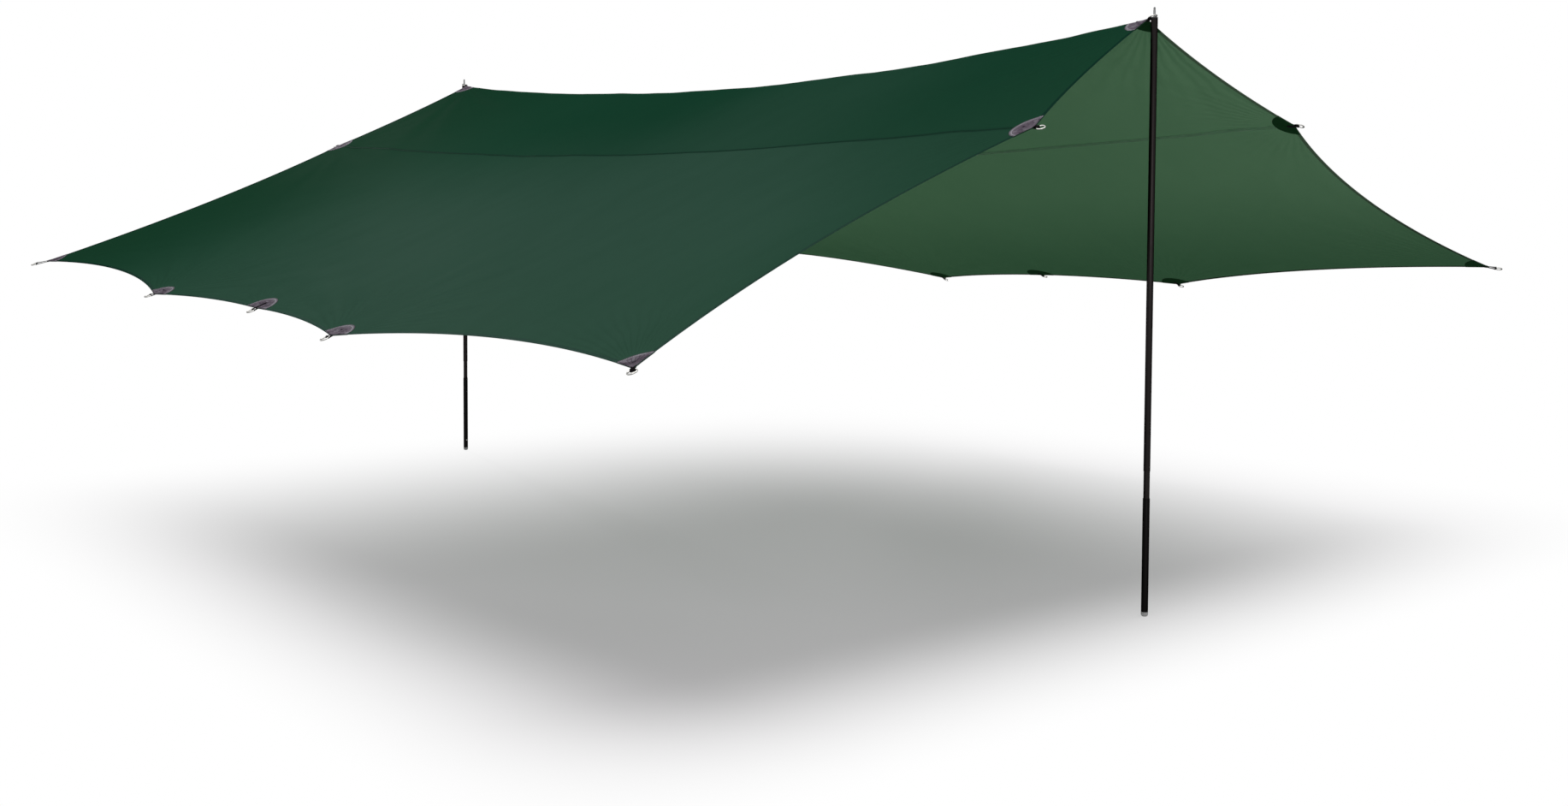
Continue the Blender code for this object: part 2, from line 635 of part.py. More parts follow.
def build():
    """Make every piece of the tarp."""
    clear_scene()
    finishes = {
        "cloth": material("green polyester", (0.018, 0.058, 0.034), 0.62),
        "tape": material("clear seam tape", (0.055, 0.120, 0.080), 0.35),
        "patch": material("grey reinforcement", (0.130, 0.120, 0.135), 0.75),
        "webbing": material("black webbing", (0.012, 0.012, 0.014), 0.85),
        "steel": material("bright steel", (0.620, 0.620, 0.600), 0.28, 1.0),
        "grey_tube": material("grey anodised tube", (0.055, 0.058, 0.062), 0.38, 0.6),
        "black_tube": material("black coated tube", (0.006, 0.006, 0.007), 0.42, 0.2),
        "black_plastic": material("black plastic", (0.012, 0.012, 0.013), 0.55),
        "foot_plastic": material("grey foot plastic", (0.330, 0.330, 0.330), 0.50),
    }
    cloth = Cloth()
    step = cloth.tape_step()
    left_seam = THIRD
    right_seam = NET_CELLS - THIRD
    left = list(range(left_seam)) + [left_seam - step, left_seam]
    centre = [left_seam, left_seam + step] + list(range(left_seam + 1, right_seam))
    centre += [right_seam - step, right_seam]
    right = [right_seam, right_seam + step] + list(range(right_seam + 1, NET_CELLS + 1))
    panels = [
        canopy_panel("canopy_panel_left", cloth, left, finishes["cloth"]),
        canopy_panel("canopy_panel_centre", cloth, centre, finishes["cloth"]),
        canopy_panel("canopy_panel_right", cloth, right, finishes["cloth"]),
    ]
    seam_tape("seam_tape_left", cloth, left_seam, finishes["tape"])
    seam_tape("seam_tape_right", cloth, right_seam, finishes["tape"])
    corners = []
    faces = []
    for panel in panels:
        first = len(corners)
        corners += [corner.co.copy() for corner in panel.data.vertices]
        faces += [[first + index for index in face.vertices] for face in panel.data.polygons]
    cloth.top = BVHTree.FromPolygons(corners, faces)
    sheet = lifted_sheet(cloth, left + centre[1:] + right[1:], finishes["patch"])
    for name, (knot, _) in cloth.held.items():
        attachment(cloth, sheet, name, knot, cloth.outward[name], finishes)
    for side, i in (("left", 0), ("right", NET_CELLS)):
        attachment(cloth, sheet, "side_middle_" + side, (i, MIDDLE), None, finishes)
    bpy.data.objects.remove(sheet, do_unlink=True)
    pole("front", -1, finishes)
    pole("back", 1, finishes)
    return cloth


build()
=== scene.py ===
"""Looks of the camping tarp: stitched canopy, reinforced ring tabs and telescopic poles."""

import json
from math import atan2, cos, pi, radians, sin, sqrt

import bmesh
import bpy
import numpy as np
from mathutils import Matrix, Vector


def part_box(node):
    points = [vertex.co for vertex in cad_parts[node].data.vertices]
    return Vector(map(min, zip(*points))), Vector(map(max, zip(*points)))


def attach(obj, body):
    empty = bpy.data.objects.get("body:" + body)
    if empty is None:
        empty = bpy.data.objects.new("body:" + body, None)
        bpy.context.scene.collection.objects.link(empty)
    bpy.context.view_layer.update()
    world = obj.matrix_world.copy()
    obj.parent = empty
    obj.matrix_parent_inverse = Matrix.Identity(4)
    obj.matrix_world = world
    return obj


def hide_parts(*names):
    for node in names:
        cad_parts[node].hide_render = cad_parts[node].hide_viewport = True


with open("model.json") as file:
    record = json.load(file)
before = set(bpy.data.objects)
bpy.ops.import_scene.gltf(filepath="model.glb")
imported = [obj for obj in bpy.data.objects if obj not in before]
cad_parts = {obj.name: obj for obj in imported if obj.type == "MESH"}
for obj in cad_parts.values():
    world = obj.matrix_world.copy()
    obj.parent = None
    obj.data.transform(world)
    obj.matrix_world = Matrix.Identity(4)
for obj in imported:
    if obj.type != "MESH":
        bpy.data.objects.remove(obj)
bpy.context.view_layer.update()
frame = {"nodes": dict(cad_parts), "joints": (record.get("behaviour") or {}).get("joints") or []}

# Camera
EYE = Vector((-4.1155, -5.2622, 1.2998))
HEADING = radians(49.851)
DIP = radians(2.897)
ROLL = radians(0.314)
LENS = 37.465
SENSOR = 36.0
SHIFT_Y = -0.0783

# Cloth as cut and as held
CUT = 4.45
CELLS = 180
CUT_LINE = np.linspace(0, CUT, CELLS + 1)
THIRD = CELLS // 3
MIDDLE = CELLS // 2
POLE_OFFSET = 2.139
CAP_TOP = 1.859
CORNER = (1.996, 2.219)
GABLE = (0.643, 2.225)
SIDE = (2.048, 0.743)
CORNER_HEIGHT = {"front_left": 0.910, "front_right": 1.048, "back_left": 1.006, "back_right": 0.985}
GABLE_HEIGHT = {"front_left": 1.500, "front_right": 1.545, "back_left": 1.539, "back_right": 1.534}
SIDE_HEIGHT = {"front_left": 0.887, "front_right": 0.916, "back_left": 0.937, "back_right": 0.884}
HEM_CORD = 0.65
RIDGE_CORD = 3.83
SEAM_CORD = 0.046
LENGTHWISE_PULL = 1.207
CLOTH_WEIGHT = 1.26
MIDDLE_TAB_LOAD = {"left": 0.15, "right": 0.0}
COARSE_CELLS = 30
BALANCED = 1e-13

# Sewing
HEM_WIDTH = 0.012
HEM_LIFT = 0.0008
SIDE_HEM_LIFT = 0.0010
HEM_STITCHES_INSET = 0.0035
SEAM_WIDTH = 0.010
SEAM_STITCHES_OFFSET = 0.0032
TAPE_WIDTH = 0.024
STITCH_PITCH = 0.005
THREAD = 0.00035
PATCH_THREAD = 0.0008
WEBBING_THREAD = 0.0003

# Ring tabs
NECK = 0.010
LONG_NECK = {"corner_back_left": 0.050, "corner_front_right": 0.024}
RING_PIVOT = 0.011
RING_CENTRE_LINE = 0.012
RING_LEAN = radians(22)
RING_RISE = 0.0018
RING_TO_SPIKE = 0.0058
WIRE_RADIUS = 0.002
WEBBING_WIDTH = 0.012
WEBBING_THICKNESS = 0.0011
LOOP_RADIUS = 0.0039
UPPER_LEG = 0.040
LOWER_LEG = 0.028
PATCH_THICKNESS = 0.0006
PATCH_LIFT = 0.0006
PATCH_SLOPE = 0.003
PATCH_OVER_HEM = 0.0010
WEBBING_OVER_HEM = 0.0009
HEM_PATCH_RADIUS = 0.075
CORNER_PATCH_RADIUS = 0.087

# Poles
MAIN_RADIUS = 0.0105
MAIN_BORE = 0.0099
SLIDE_RADIUS = 0.0096
SLIDE_BORE = 0.0088
LOWER_RADIUS = 0.0109
LOWER_BORE = 0.0099
SPIKE_RADIUS = 0.0035
SPIKE_NOSE = 0.006
SPIKE_GROOVE = 0.0235
CAP_BORE = 0.0038
CAP_FLANGE = 0.004
CAP_ROUND = 0.001
FOOT_RIM = 0.0112
FOOT_FACE = 0.0055
RIVET_HEAD = 0.0031
RIVET_DOME = 0.0010
RIVET_SHANK = 0.0016
FIT = 0.0003
ROUND_SIDES = 64
SPIKE_SIDES = 40
RIVET_SIDES = 32

# Cloth finish
CLOTH_SHINE = 0.002
THREAD_PITCH = 0.0012
INNER = 10.0

# Light and floor
SURROUND = 0.58
FLOOR_COLOUR = (0.66, 0.62, 0.655)
FLOOR_GLOW = 0.22
FLOOR_EDGES = (("left", 1.47, 2.55), ("right", 0.22, 3.14), ("front", 1.73, 2.71), ("back", -0.36, 2.76))
FLOOR_SIZE = 60
LAMPS = (
    ("overhead", (0, 0, 7.5), (0, 0, 0), 6.0, 190),
    ("behind", (1.6, 9.4, 5.2), (0, 1, 0.8), 0.7, 220),
    ("front fill", (-5, -8, 1.6), (-0.5, -0.5, 1.2), 4.0, 130),
)


# Shader maths


class Wire:
    """A shader value that takes part in ordinary sums."""

    def __init__(self, nodes, socket):
        self.nodes = nodes
        self.socket = socket

    def math(self, operation, *others):
        return self.nodes.node("ShaderNodeMath", {"operation": operation}, self, *others)

    def __add__(self, other):
        return self.math("ADD", other)

    def __sub__(self, other):
        return self.math("SUBTRACT", other)

    def __rsub__(self, other):
        return self.nodes.node("ShaderNodeMath", {"operation": "SUBTRACT"}, other, self)

    def __mul__(self, other):
        return self.math("MULTIPLY", other)

    def __abs__(self):
        return self.math("ABSOLUTE")

    __radd__ = __add__
    __rmul__ = __mul__

    def wave(self, pitch):
        """A sine of the value with the given length of one period, from -1 to 1."""
        return (self * (2 * pi / pitch)).math("SINE")

    def between(self, low, high):
        """A smooth step from 0 at low to 1 at high."""
        settings = {"interpolation_type": "SMOOTHSTEP"}
        return self.nodes.node("ShaderNodeMapRange", settings, self, low, high, 0.0, 1.0)


class Nodes:
    """The node tree of a material or of the surround."""

    def __init__(self, tree):
        self.tree = tree

    def node(self, kind, settings, *values, output=0, **named):
        """Add a node: its settings first, then the values or links of its sockets."""
        made = self.tree.nodes.new(kind)
        for key, value in settings.items():
            setattr(made, key, value)
        for key, value in [*enumerate(values), *named.items()]:
            self.fill(made.inputs[key if isinstance(key, int) else key.replace("_", " ")], value)
        return Wire(self, made.outputs[output])

    def fill(self, socket, value):
        """Give a socket a link or a value."""
        if isinstance(value, Wire):
            self.tree.links.new(value.socket, socket)
        else:
            socket.default_value = value

    def mix(self, amount, first, second):
        """Blend two colours."""
        made = self.node("ShaderNodeMix", {"data_type": "RGBA"}, amount, output=2)
        for index, value in ((6, first), (7, second)):
            self.fill(made.socket.node.inputs[index], value if isinstance(value, Wire) else (*value, 1.0))
        return made

    def place(self, source="Object"):
        """Coordinates of the surface."""
        return self.node("ShaderNodeTexCoord", {}, output={"Normal": 1, "UV": 2, "Object": 3}[source])

    def parts(self, vector):
        """The three numbers of a vector."""
        node = self.node("ShaderNodeSeparateXYZ", {}, vector).socket.node
        return [Wire(self, output) for output in node.outputs]

    def noise(self, scale, detail=3.0, stretch=(1, 1, 1), source="Object"):
        """Soft random spots over the surface, squeezed by stretch along its axes."""
        place = self.node("ShaderNodeMapping", {}, self.place(source), Scale=stretch)
        return self.node("ShaderNodeTexNoise", {}, Vector=place, Scale=scale, Detail=detail)

    def flat_place(self):
        """Across and along on the flat piece."""
        return self.parts(self.place("UV"))[:2]

    def blend(self, share, other):
        """Mix another shader into the surface."""
        surface = next(node for node in self.tree.nodes if "Surface" in node.inputs).inputs["Surface"]
        both = self.node("ShaderNodeMixShader", {}, share, Wire(self, surface.links[0].from_socket), other)
        self.tree.links.new(both.socket, surface)

    def seen_directly(self):
        """1 for rays from the camera and for those that mirror or pass through, else 0."""
        path = self.node("ShaderNodeLightPath", {}).socket.node
        seen = Wire(self, path.outputs["Is Camera Ray"])
        for kind in ("Is Glossy Ray", "Is Transmission Ray"):
            seen = seen.math("MAXIMUM", Wire(self, path.outputs[kind]))
        return seen


class Finish(Nodes):
    """A procedural material with one Principled shader."""

    def __init__(self, name, colour, roughness, metallic=0.0, **constants):
        self.material = bpy.data.materials.new(name)
        self.material.use_nodes = True
        super().__init__(self.material.node_tree)
        self.shader = self.tree.nodes["Principled BSDF"]
        constants.update(Base_Color=(*colour, 1.0), Roughness=roughness, Metallic=metallic)
        for socket, value in constants.items():
            self.shader.inputs[socket.replace("_", " ")].default_value = value
        self.material.diffuse_color = (*colour, 1.0)

    def feed(self, socket, value):
        self.tree.links.new(value.socket, self.shader.inputs[socket])

    def bump(self, height, distance, strength):
        """Relief from a height between 0 and 1."""
        relief = self.node("ShaderNodeBump", {}, Strength=strength, Distance=distance, Height=height)
        self.feed("Normal", relief)

    def let_light_through(self, share, colour):
        """Mix in light that comes through from the other face."""
        self.blend(share, self.node("ShaderNodeBsdfTranslucent", {}, Color=(*colour, 1.0)))

    def faint_shine(self, share, roughness):
        """The weak gloss of a matt cloth."""
        self.blend(share, self.node("ShaderNodeBsdfAnisotropic", {}, Color=(1, 1, 1, 1), Roughness=roughness))

    def dress(self, colour, roughness, height, distance, strength, *shine):
        """Give the surface its varying colour, roughness and relief, and a weak gloss if one is asked for."""
        self.feed("Base Color", colour)
        self.feed("Roughness", roughness)
        self.bump(height, distance, strength)
        if shine:
            self.faint_shine(*shine)
        return self.material


def toned(colour, share):
    """The colour made darker by a share below 1, or paler by one above."""
    return tuple(min(value * share, 1.0) for value in colour)


def srgb(red, green, blue):
    """Linear colour from display values of 0 to 255."""
    return tuple(((value / 255 + 0.055) / 1.055) ** 2.4 if value > 10 else value / 255 / 12.92
                 for value in (red, green, blue))


def cloth_shade(made, across, along, within, colours):
    """Cloudiness and colour of the cloth: painted sheen, light and shade outside, paler with painted shade
    inside, streaky all over.
    """
    outside, sheen_colour, inside = colours
    cloudy = made.noise(0.9, 4.0, source="UV").between(0.30, 0.72)
    streaks = made.noise(3.0, 5.0, (1, 3, 1), "UV").between(0.35, 0.70)
    down = abs(across - CUT / 2)
    side_width = down.between(0.735, 0.755)
    # Painted sheen: a paler, greyer haze on the outside, stronger down the slopes toward the front and on the
    # side widths of cloth.
    toward_front = (1 - along.between(1.9, 4.4)) * ((along + down * 0.5).between(0.3, 1.3) * 0.55 + 0.45)
    painted_sheen = (side_width * 0.35 + down.between(0.25, 1.5) * 0.65) * toward_front
    # A painted pool of light joins it, round a spot 1.35 m from the front edge and 0.35 m from the ridge.
    ahead = along - 1.35
    below = down - 0.35
    painted_sheen = painted_sheen + (1 - (ahead * ahead + below * below).math("SQRT").between(0.1, 1.0)) * 0.34
    top = made.mix(painted_sheen + cloudy * 0.06 - 0.02, outside, sheen_colour)
    # Painted shade: the outside is darker toward the back edge.
    top = made.mix(along.between(3.0, CUT) * 0.5, top, toned(outside, 0.35))
    # Painted shade: the inside darkens toward the side hems.
    under = made.mix(down.between(1.0, 2.3) + cloudy * 0.10, inside, toned(inside, 0.38))
    shade = made.mix(within, top, under)
    streaked = made.mix(within, toned(outside, 0.6), toned(inside, 0.7))
    return cloudy, made.mix(streaks * 0.07, shade, streaked)


def weave(across, along, pitch):
    """Crossing threads of a plain weave, from -1 to 1."""
    return across.wave(pitch) * along.wave(pitch)


def fan(made, across, along, centre, count, reach):
    """Pull lines that spread from a tab, as a height from -1 to 1."""
    right = across - centre[0]
    ahead = along - centre[1]
    distance = (right * right + ahead * ahead).math("SQRT")
    wander = made.noise(5.0, 3.0, source="UV") * 9.0
    lines = (ahead.math("ARCTAN2", right) * count + wander).math("SINE")
    return lines * distance.between(0.05, 0.16) * (1 - distance.between(reach * 0.4, reach))


def cloth_finish(name, colours, through):
    """Plain weave polyester with pull lines at its tabs and some light coming through."""
    made = Finish(name, colours[0], 0.60, Specular_IOR_Level=0.0)
    across, along = made.flat_place()
    within = made.node("ShaderNodeNewGeometry", {}, output=6)
    cloudy, shade = cloth_shade(made, across, along, within, colours)
    slubs = made.noise(900.0, 2.0, (1, 0.08, 1), "UV").between(0.5, 0.8)
    shade = made.mix(slubs * 0.06, shade, made.mix(within, toned(colours[1], 0.9), toned(colours[2], 1.2)))
    made.feed("Base Color", shade)
    made.feed("Roughness", cloudy * 0.08 + slubs * 0.04 + 0.55)
    aside = abs(across - CUT / 2)
    ahead = abs(along - CUT / 2)
    third = CUT / 6
    folds = fan(made, aside, ahead, (0.0, CUT / 2), 47, 0.85) * 1.3
    for centre, count, reach, depth in (
        ((CUT / 2, CUT / 2), 61, 0.75, 1.0), ((third, CUT / 2), 41, 0.45, 0.8),
        ((CUT / 2, third), 47, 0.60, 1.0), ((CUT / 2, 0.0), 37, 0.40, 0.6),
    ):
        folds = folds + fan(made, aside, ahead, centre, count, reach) * depth
    threads = weave(across, along, THREAD_PITCH) * 0.05
    crinkle = made.noise(16.0, 6.0, source="UV") * 1.4 + made.noise(60.0, 4.0, source="UV") * 0.5
    made.bump(crinkle + folds + threads, 0.001, 1.0)
    made.let_light_through(0.12, through)
    made.faint_shine(CLOTH_SHINE, 0.50)
    return made.material


def patch_shadow_finish(name, colour):
    """The patches' inner cloth, doubled, which lets no light through; its dark colour is the patch's painted
    shadow.
    """
    made = Finish(name, colour, 0.75, Specular_IOR_Level=0.0)
    across, along = made.flat_place()
    grain = made.noise(240.0, 4.0)
    shade = made.mix(grain.between(0.3, 0.7) * 0.4, colour, toned(colour, 0.7))
    relief = grain + weave(across, along, THREAD_PITCH) * 0.2
    return made.dress(shade, grain * 0.10 + 0.70, relief, 0.0004, 0.5, CLOTH_SHINE * 0.7, 0.40)


def hem_finish(name, colours):
    """Doubled cloth round the edge. Its inner face is marked by INNER metres across."""
    made = Finish(name, colours[0], 0.62, Specular_IOR_Level=0.0)
    marked, along = made.flat_place()
    within = marked.between(INNER * 0.7, INNER * 0.8)
    across = marked - within * INNER
    _, shade = cloth_shade(made, across, along, within, colours)
    grain = made.noise(240.0, 4.0)
    shade = made.mix(grain.between(0.3, 0.7) * 0.2, shade, toned(colours[0], 0.7))
    relief = grain + weave(across, along, THREAD_PITCH) * 0.2
    return made.dress(shade, grain * 0.10 + 0.57, relief, 0.0004, 0.5, CLOTH_SHINE, 0.40)


def seam_finish(name, colour, line, width, roughness):
    """A strip of the same cloth with a darker line along its middle: doubled layers outside, their painted
    shade inside.
    """
    made = Finish(name, colour, roughness, Specular_IOR_Level=0.0)
    across, along = made.flat_place()
    distance = abs(across - 0.5)
    middle = 1 - distance.between(width * 0.6, width)
    grain = made.noise(260.0, 3.0)
    shade = made.mix(middle * 0.85, made.mix(grain * 0.25, colour, line), line)
    relief = grain + along.wave(0.0014) * 0.15
    return made.dress(shade, grain * 0.15 + (roughness - 0.07), relief, 0.0003, 0.5, CLOTH_SHINE, 0.40)


def patch_finish(name, colour, paler, darker, radius):
    """Coarse grey reinforcement cloth, paler on its turned-in rim and darker at the very edge."""
    made = Finish(name, colour, 0.80, Specular_IOR_Level=0.0)
    across, along = made.flat_place()
    reach = made.node("ShaderNodeVectorMath", {"operation": "LENGTH"}, made.place("UV"), output=1)
    rim = reach.between(radius - 0.016, radius - 0.007)
    middle = (1 - abs(reach - radius * 0.52).between(0.006, 0.020)) * (1 - rim)
    canvas = weave(across, along, 0.0016)
    mottle = made.noise(110.0, 5.0).between(0.38, 0.62)
    rubbed = made.noise(45.0, 4.0).between(0.50, 0.65)
    shade = made.mix(mottle * 0.55 + middle * 0.40, colour, darker)
    shade = made.mix(rubbed * 0.25 + rim * 0.6, shade, paler)
    shade = made.mix(canvas.between(0.1, 0.9) * 0.20, shade, paler)
    edge = reach.between(radius - 0.0045, radius - 0.002)
    shade = made.mix(edge * 0.8, shade, toned(darker, 0.4))
    relief = canvas * 0.5 + mottle * 0.4 + rim * 0.6
    return made.dress(shade, mottle * 0.12 + 0.70, relief, 0.0004, 0.8, 0.010, 0.45)


def webbing_finish(name, colour, paler):
    """Woven strap with ribs across its width."""
    made = Finish(name, colour, 0.82, Specular_IOR_Level=0.0)
    across, along = made.flat_place()
    ribs = along.wave(0.0014) * 0.5 + 0.5
    herringbone = (across + along * 0.5).wave(0.0022) * 0.5 + 0.5
    dust = made.noise(180.0, 4.0).between(0.45, 0.80)
    shade = made.mix(ribs * 0.35 + dust * 0.3, colour, paler)
    return made.dress(shade, dust * 0.12 + 0.74, ribs * 0.6 + herringbone * 0.4, 0.0003, 0.9, 0.004, 0.35)


def thread_finish(name, colour):
    """Twisted sewing thread."""
    made = Finish(name, colour, 0.6, Specular_IOR_Level=0.05)
    twist = made.noise(2500.0, 2.0)
    made.feed("Base Color", made.mix(twist * 0.4, colour, toned(colour, 0.5)))
    made.bump(twist, 0.0001, 0.6)
    return made.material


def metal_finish(name, colour, roughness, brush=(1, 1, 1), darker=0.55, wear=0.35, painted_shade_below=0.0):
    """Metal with drawing lines, handling marks and dark pits, and painted shade on faces that turn down where
    asked.
    """
    made = Finish(name, colour, roughness, 1.0, Specular_Tint=(0, 0, 0, 1))
    lines = made.noise(420.0, 3.0, brush)
    marks = made.noise(38.0, 5.0).between(0.55, 0.80)
    pits = made.noise(900.0, 2.0).between(0.62, 0.80)
    shade = made.mix(marks * wear, colour, toned(colour, darker))
    shade = made.mix(pits * 0.18, shade, toned(colour, 0.4))
    if painted_shade_below:
        # Painted shade: faces that turn down are darker, as if they mirrored the shaded floor.
        upward = made.parts(made.place("Normal"))[2]
        shade = made.mix((1 - upward.between(-0.55, 0.55)) * painted_shade_below, shade, toned(colour, 0.12))
    rough = lines * 0.10 + marks * 0.12 + (roughness - 0.06)
    return made.dress(shade, rough, lines * 0.7 + pits * 0.3, 0.00008, 0.6)


def plastic_finish(name, colour, roughness, paler=1.6):
    """Moulded plastic with a fine spark-eroded grain and scuffs."""
    made = Finish(name, colour, roughness)
    grain = made.noise(1500.0, 2.0)
    scuffs = made.noise(60.0, 6.0, (1, 1, 0.3)).between(0.60, 0.78)
    shade = made.mix(scuffs * 0.45, colour, toned(colour, paler))
    return made.dress(shade, grain * 0.12 + scuffs * 0.15 + (roughness - 0.06), grain, 0.00012, 0.6)


def tape_finish():
    """Clear sealing film that shows the cloth through it."""
    made = Finish("seam tape", srgb(110, 154, 118), 0.35, Specular_IOR_Level=0.02, Alpha=0.28)
    grain = made.noise(120.0, 3.0)
    shade = made.mix(grain * 0.5, srgb(114, 160, 123), srgb(96, 140, 106))
    return made.dress(shade, grain * 0.2 + 0.28, grain, 0.0002, 0.4)


# Outside, painted sheen and inside colours. The inside is paler partly for its coating, partly as painted
# light coming through the cloth.
CLOTH_COLOURS = (srgb(5, 44, 32), srgb(45, 71, 61), srgb(97, 126, 98))
# The hem's outer faces are painted paler to make up for shade on the fold; its inner face is painted darker,
# as less light comes through the doubled cloth.
HEM_COLOURS = tuple(toned(colour, share) for colour, share in zip(CLOTH_COLOURS, (1.10, 1.10, 0.72)))
PATCH_GREYS = (srgb(103, 92, 104), srgb(168, 166, 174), srgb(50, 39, 54))
FINISHES = {
    "cloth": cloth_finish("tarp cloth", CLOTH_COLOURS, srgb(62, 132, 86)),
    "hem": hem_finish("hem cloth", HEM_COLOURS),
    "seam": seam_finish("felled seam", srgb(22, 56, 42), srgb(13, 44, 31), 0.18, 0.55),
    # Inside, the strip is painted pale for light that comes through the cloth, and its middle line is painted
    # shade where the doubled seam blocks that light.
    "seam_inside": seam_finish("seam allowance inside", srgb(112, 165, 122), srgb(38, 84, 46), 0.15, 0.62),
    "tape": tape_finish(),
    "patch": patch_finish("reinforcement", *PATCH_GREYS, HEM_PATCH_RADIUS),
    "corner_patch": patch_finish("corner reinforcement", *PATCH_GREYS, CORNER_PATCH_RADIUS),
    # Dark green: painted shadow of the patch on the inside of the cloth.
    "patch_shadow": patch_shadow_finish("patch seen from inside", srgb(22, 58, 30)),
    "webbing": webbing_finish("black webbing", srgb(9, 8, 9), srgb(30, 27, 31)),
    "thread": thread_finish("green thread", srgb(12, 40, 28)),
    "grey_thread": thread_finish("grey thread", srgb(24, 20, 28)),
    "steel": metal_finish("ring steel", srgb(222, 221, 217), 0.14, painted_shade_below=0.95),
    "spike": metal_finish("spike steel", srgb(116, 117, 117), 0.28, (1, 1, 14)),
    "grey_tube": metal_finish("grey anodised tube", srgb(35, 32, 32), 0.30, (1, 1, 0.03), 0.6, 0.3),
    "black_tube": metal_finish("black tube", srgb(17, 16, 16), 0.36, (1, 1, 0.03), 0.6, 0.2),
    "black_plastic": plastic_finish("black plastic", srgb(16, 16, 17), 0.5),
    "foot_plastic": plastic_finish("foot plastic", srgb(158, 158, 158), 0.52, 0.7),
}


# Shape of the pitched cloth


def knot_places(cells):
    """The knots of the net that are held, and where."""
    third = cells // 3
    half = cells // 2
    reach = RING_PIVOT + NECK
    inset = reach * cos(RING_LEAN) - (RING_TO_SPIKE - RING_CENTRE_LINE * cos(RING_LEAN))
    tip_height = CAP_TOP + RING_RISE - reach * sin(RING_LEAN)
    held = {}
    for end, way, j in (("front", -1, 0), ("back", 1, cells)):
        held["ridge_" + end] = (half, j), (0, way * (POLE_OFFSET - inset), tip_height)
        for side, hand, i in (("left", -1, 0), ("right", 1, cells)):
            name = end + "_" + side
            held["corner_" + name] = (i, j), (hand * CORNER[0], way * CORNER[1], CORNER_HEIGHT[name])
            gable_i = half + hand * (half - third)
            held["gable_" + name] = (gable_i, j), (hand * GABLE[0], way * GABLE[1], GABLE_HEIGHT[name])
            side_j = half + way * (half - third)
            held["side_" + name] = (i, side_j), (hand * SIDE[0], way * SIDE[1], SIDE_HEIGHT[name])
    return held


def pulls(cells):
    """Force density of every thread across and along the net."""
    across = np.ones((cells, cells + 1))
    across[:, [0, -1]] = 0.5 + HEM_CORD * cells
    along = np.full((cells + 1, cells), LENGTHWISE_PULL)
    along[[0, -1]] = LENGTHWISE_PULL / 2 + HEM_CORD * cells
    along[cells // 2] += RIDGE_CORD * cells
    along[[cells // 3, cells - cells // 3]] += SEAM_CORD * cells
    return across[..., None], along[..., None]


def balance(start, cells):
    """Move the free knots until the pulls and the cloth's weight cancel, by conjugate gradients."""
    across, along = pulls(cells)
    free = np.ones((cells + 1, cells + 1, 1))
    knots = start.copy()
    for (i, j), position in knot_places(cells).values():
        knots[i, j] = position
        free[i, j] = 0

    def out_of_balance(shape):
        force = np.zeros_like(shape)
        pull = across * (shape[1:] - shape[:-1])
        force[:-1] += pull
        force[1:] -= pull
        pull = along * (shape[:, 1:] - shape[:, :-1])
        force[:, :-1] += pull
        force[:, 1:] -= pull
        return force

    weight = np.zeros_like(knots)
    weight[..., 2] = -CLOTH_WEIGHT / cells ** 2
    weight[0, cells // 2, 2] -= MIDDLE_TAB_LOAD["left"]
    weight[-1, cells // 2, 2] -= MIDDLE_TAB_LOAD["right"]
    stiff = np.zeros_like(free)
    stiff[:-1] += across
    stiff[1:] += across
    stiff[:, :-1] += along
    stiff[:, 1:] += along
    rest = (out_of_balance(knots) + weight) * free
    ready = rest / stiff
    step = ready.copy()
    power = (rest * ready).sum()
    for _ in range(3000):
        change = -out_of_balance(step) * free
        reach = power / (step * change).sum()
        knots += reach * step
        rest -= reach * change
        ready = rest / stiff
        fresh = (rest * ready).sum()
        if fresh < BALANCED:
            break
        step = ready + fresh / power * step
        power = fresh
    return knots


def refine(knots, cells):
    """The same net with more cells."""
    old = np.linspace(0, 1, knots.shape[0])
    new = np.linspace(0, 1, cells + 1)
    wide = np.stack([[np.interp(new, old, knots[:, j, k]) for j in range(knots.shape[1])] for k in range(3)])
    full = np.stack([[np.interp(new, old, wide[k, :, i]) for i in range(cells + 1)] for k in range(3)])
    return full.transpose(1, 2, 0)


def pitched_net():
    """Knots of the pitched cloth, from a coarse net to a fine one."""
    line = np.linspace(-1, 1, COARSE_CELLS + 1)
    start = np.zeros((COARSE_CELLS + 1, COARSE_CELLS + 1, 3))
    start[..., 0] = line[:, None] * 2
    start[..., 1] = line[None, :] * 2.2
    start[..., 2] = 1.2
    knots = balance(start, COARSE_CELLS)
    for cells in (COARSE_CELLS * 2, CELLS):
        knots = balance(refine(knots, cells), cells)
    return knots


def flat_map(across, along):
    """Flat places for every pair of a distance across and one along."""
    return np.stack(np.meshgrid(across, along, indexing="ij"), axis=2)


def surface_normals(knots):
    normal = np.cross(np.gradient(knots, axis=0), np.gradient(knots, axis=1))
    return normal / np.linalg.norm(normal, axis=2, keepdims=True)


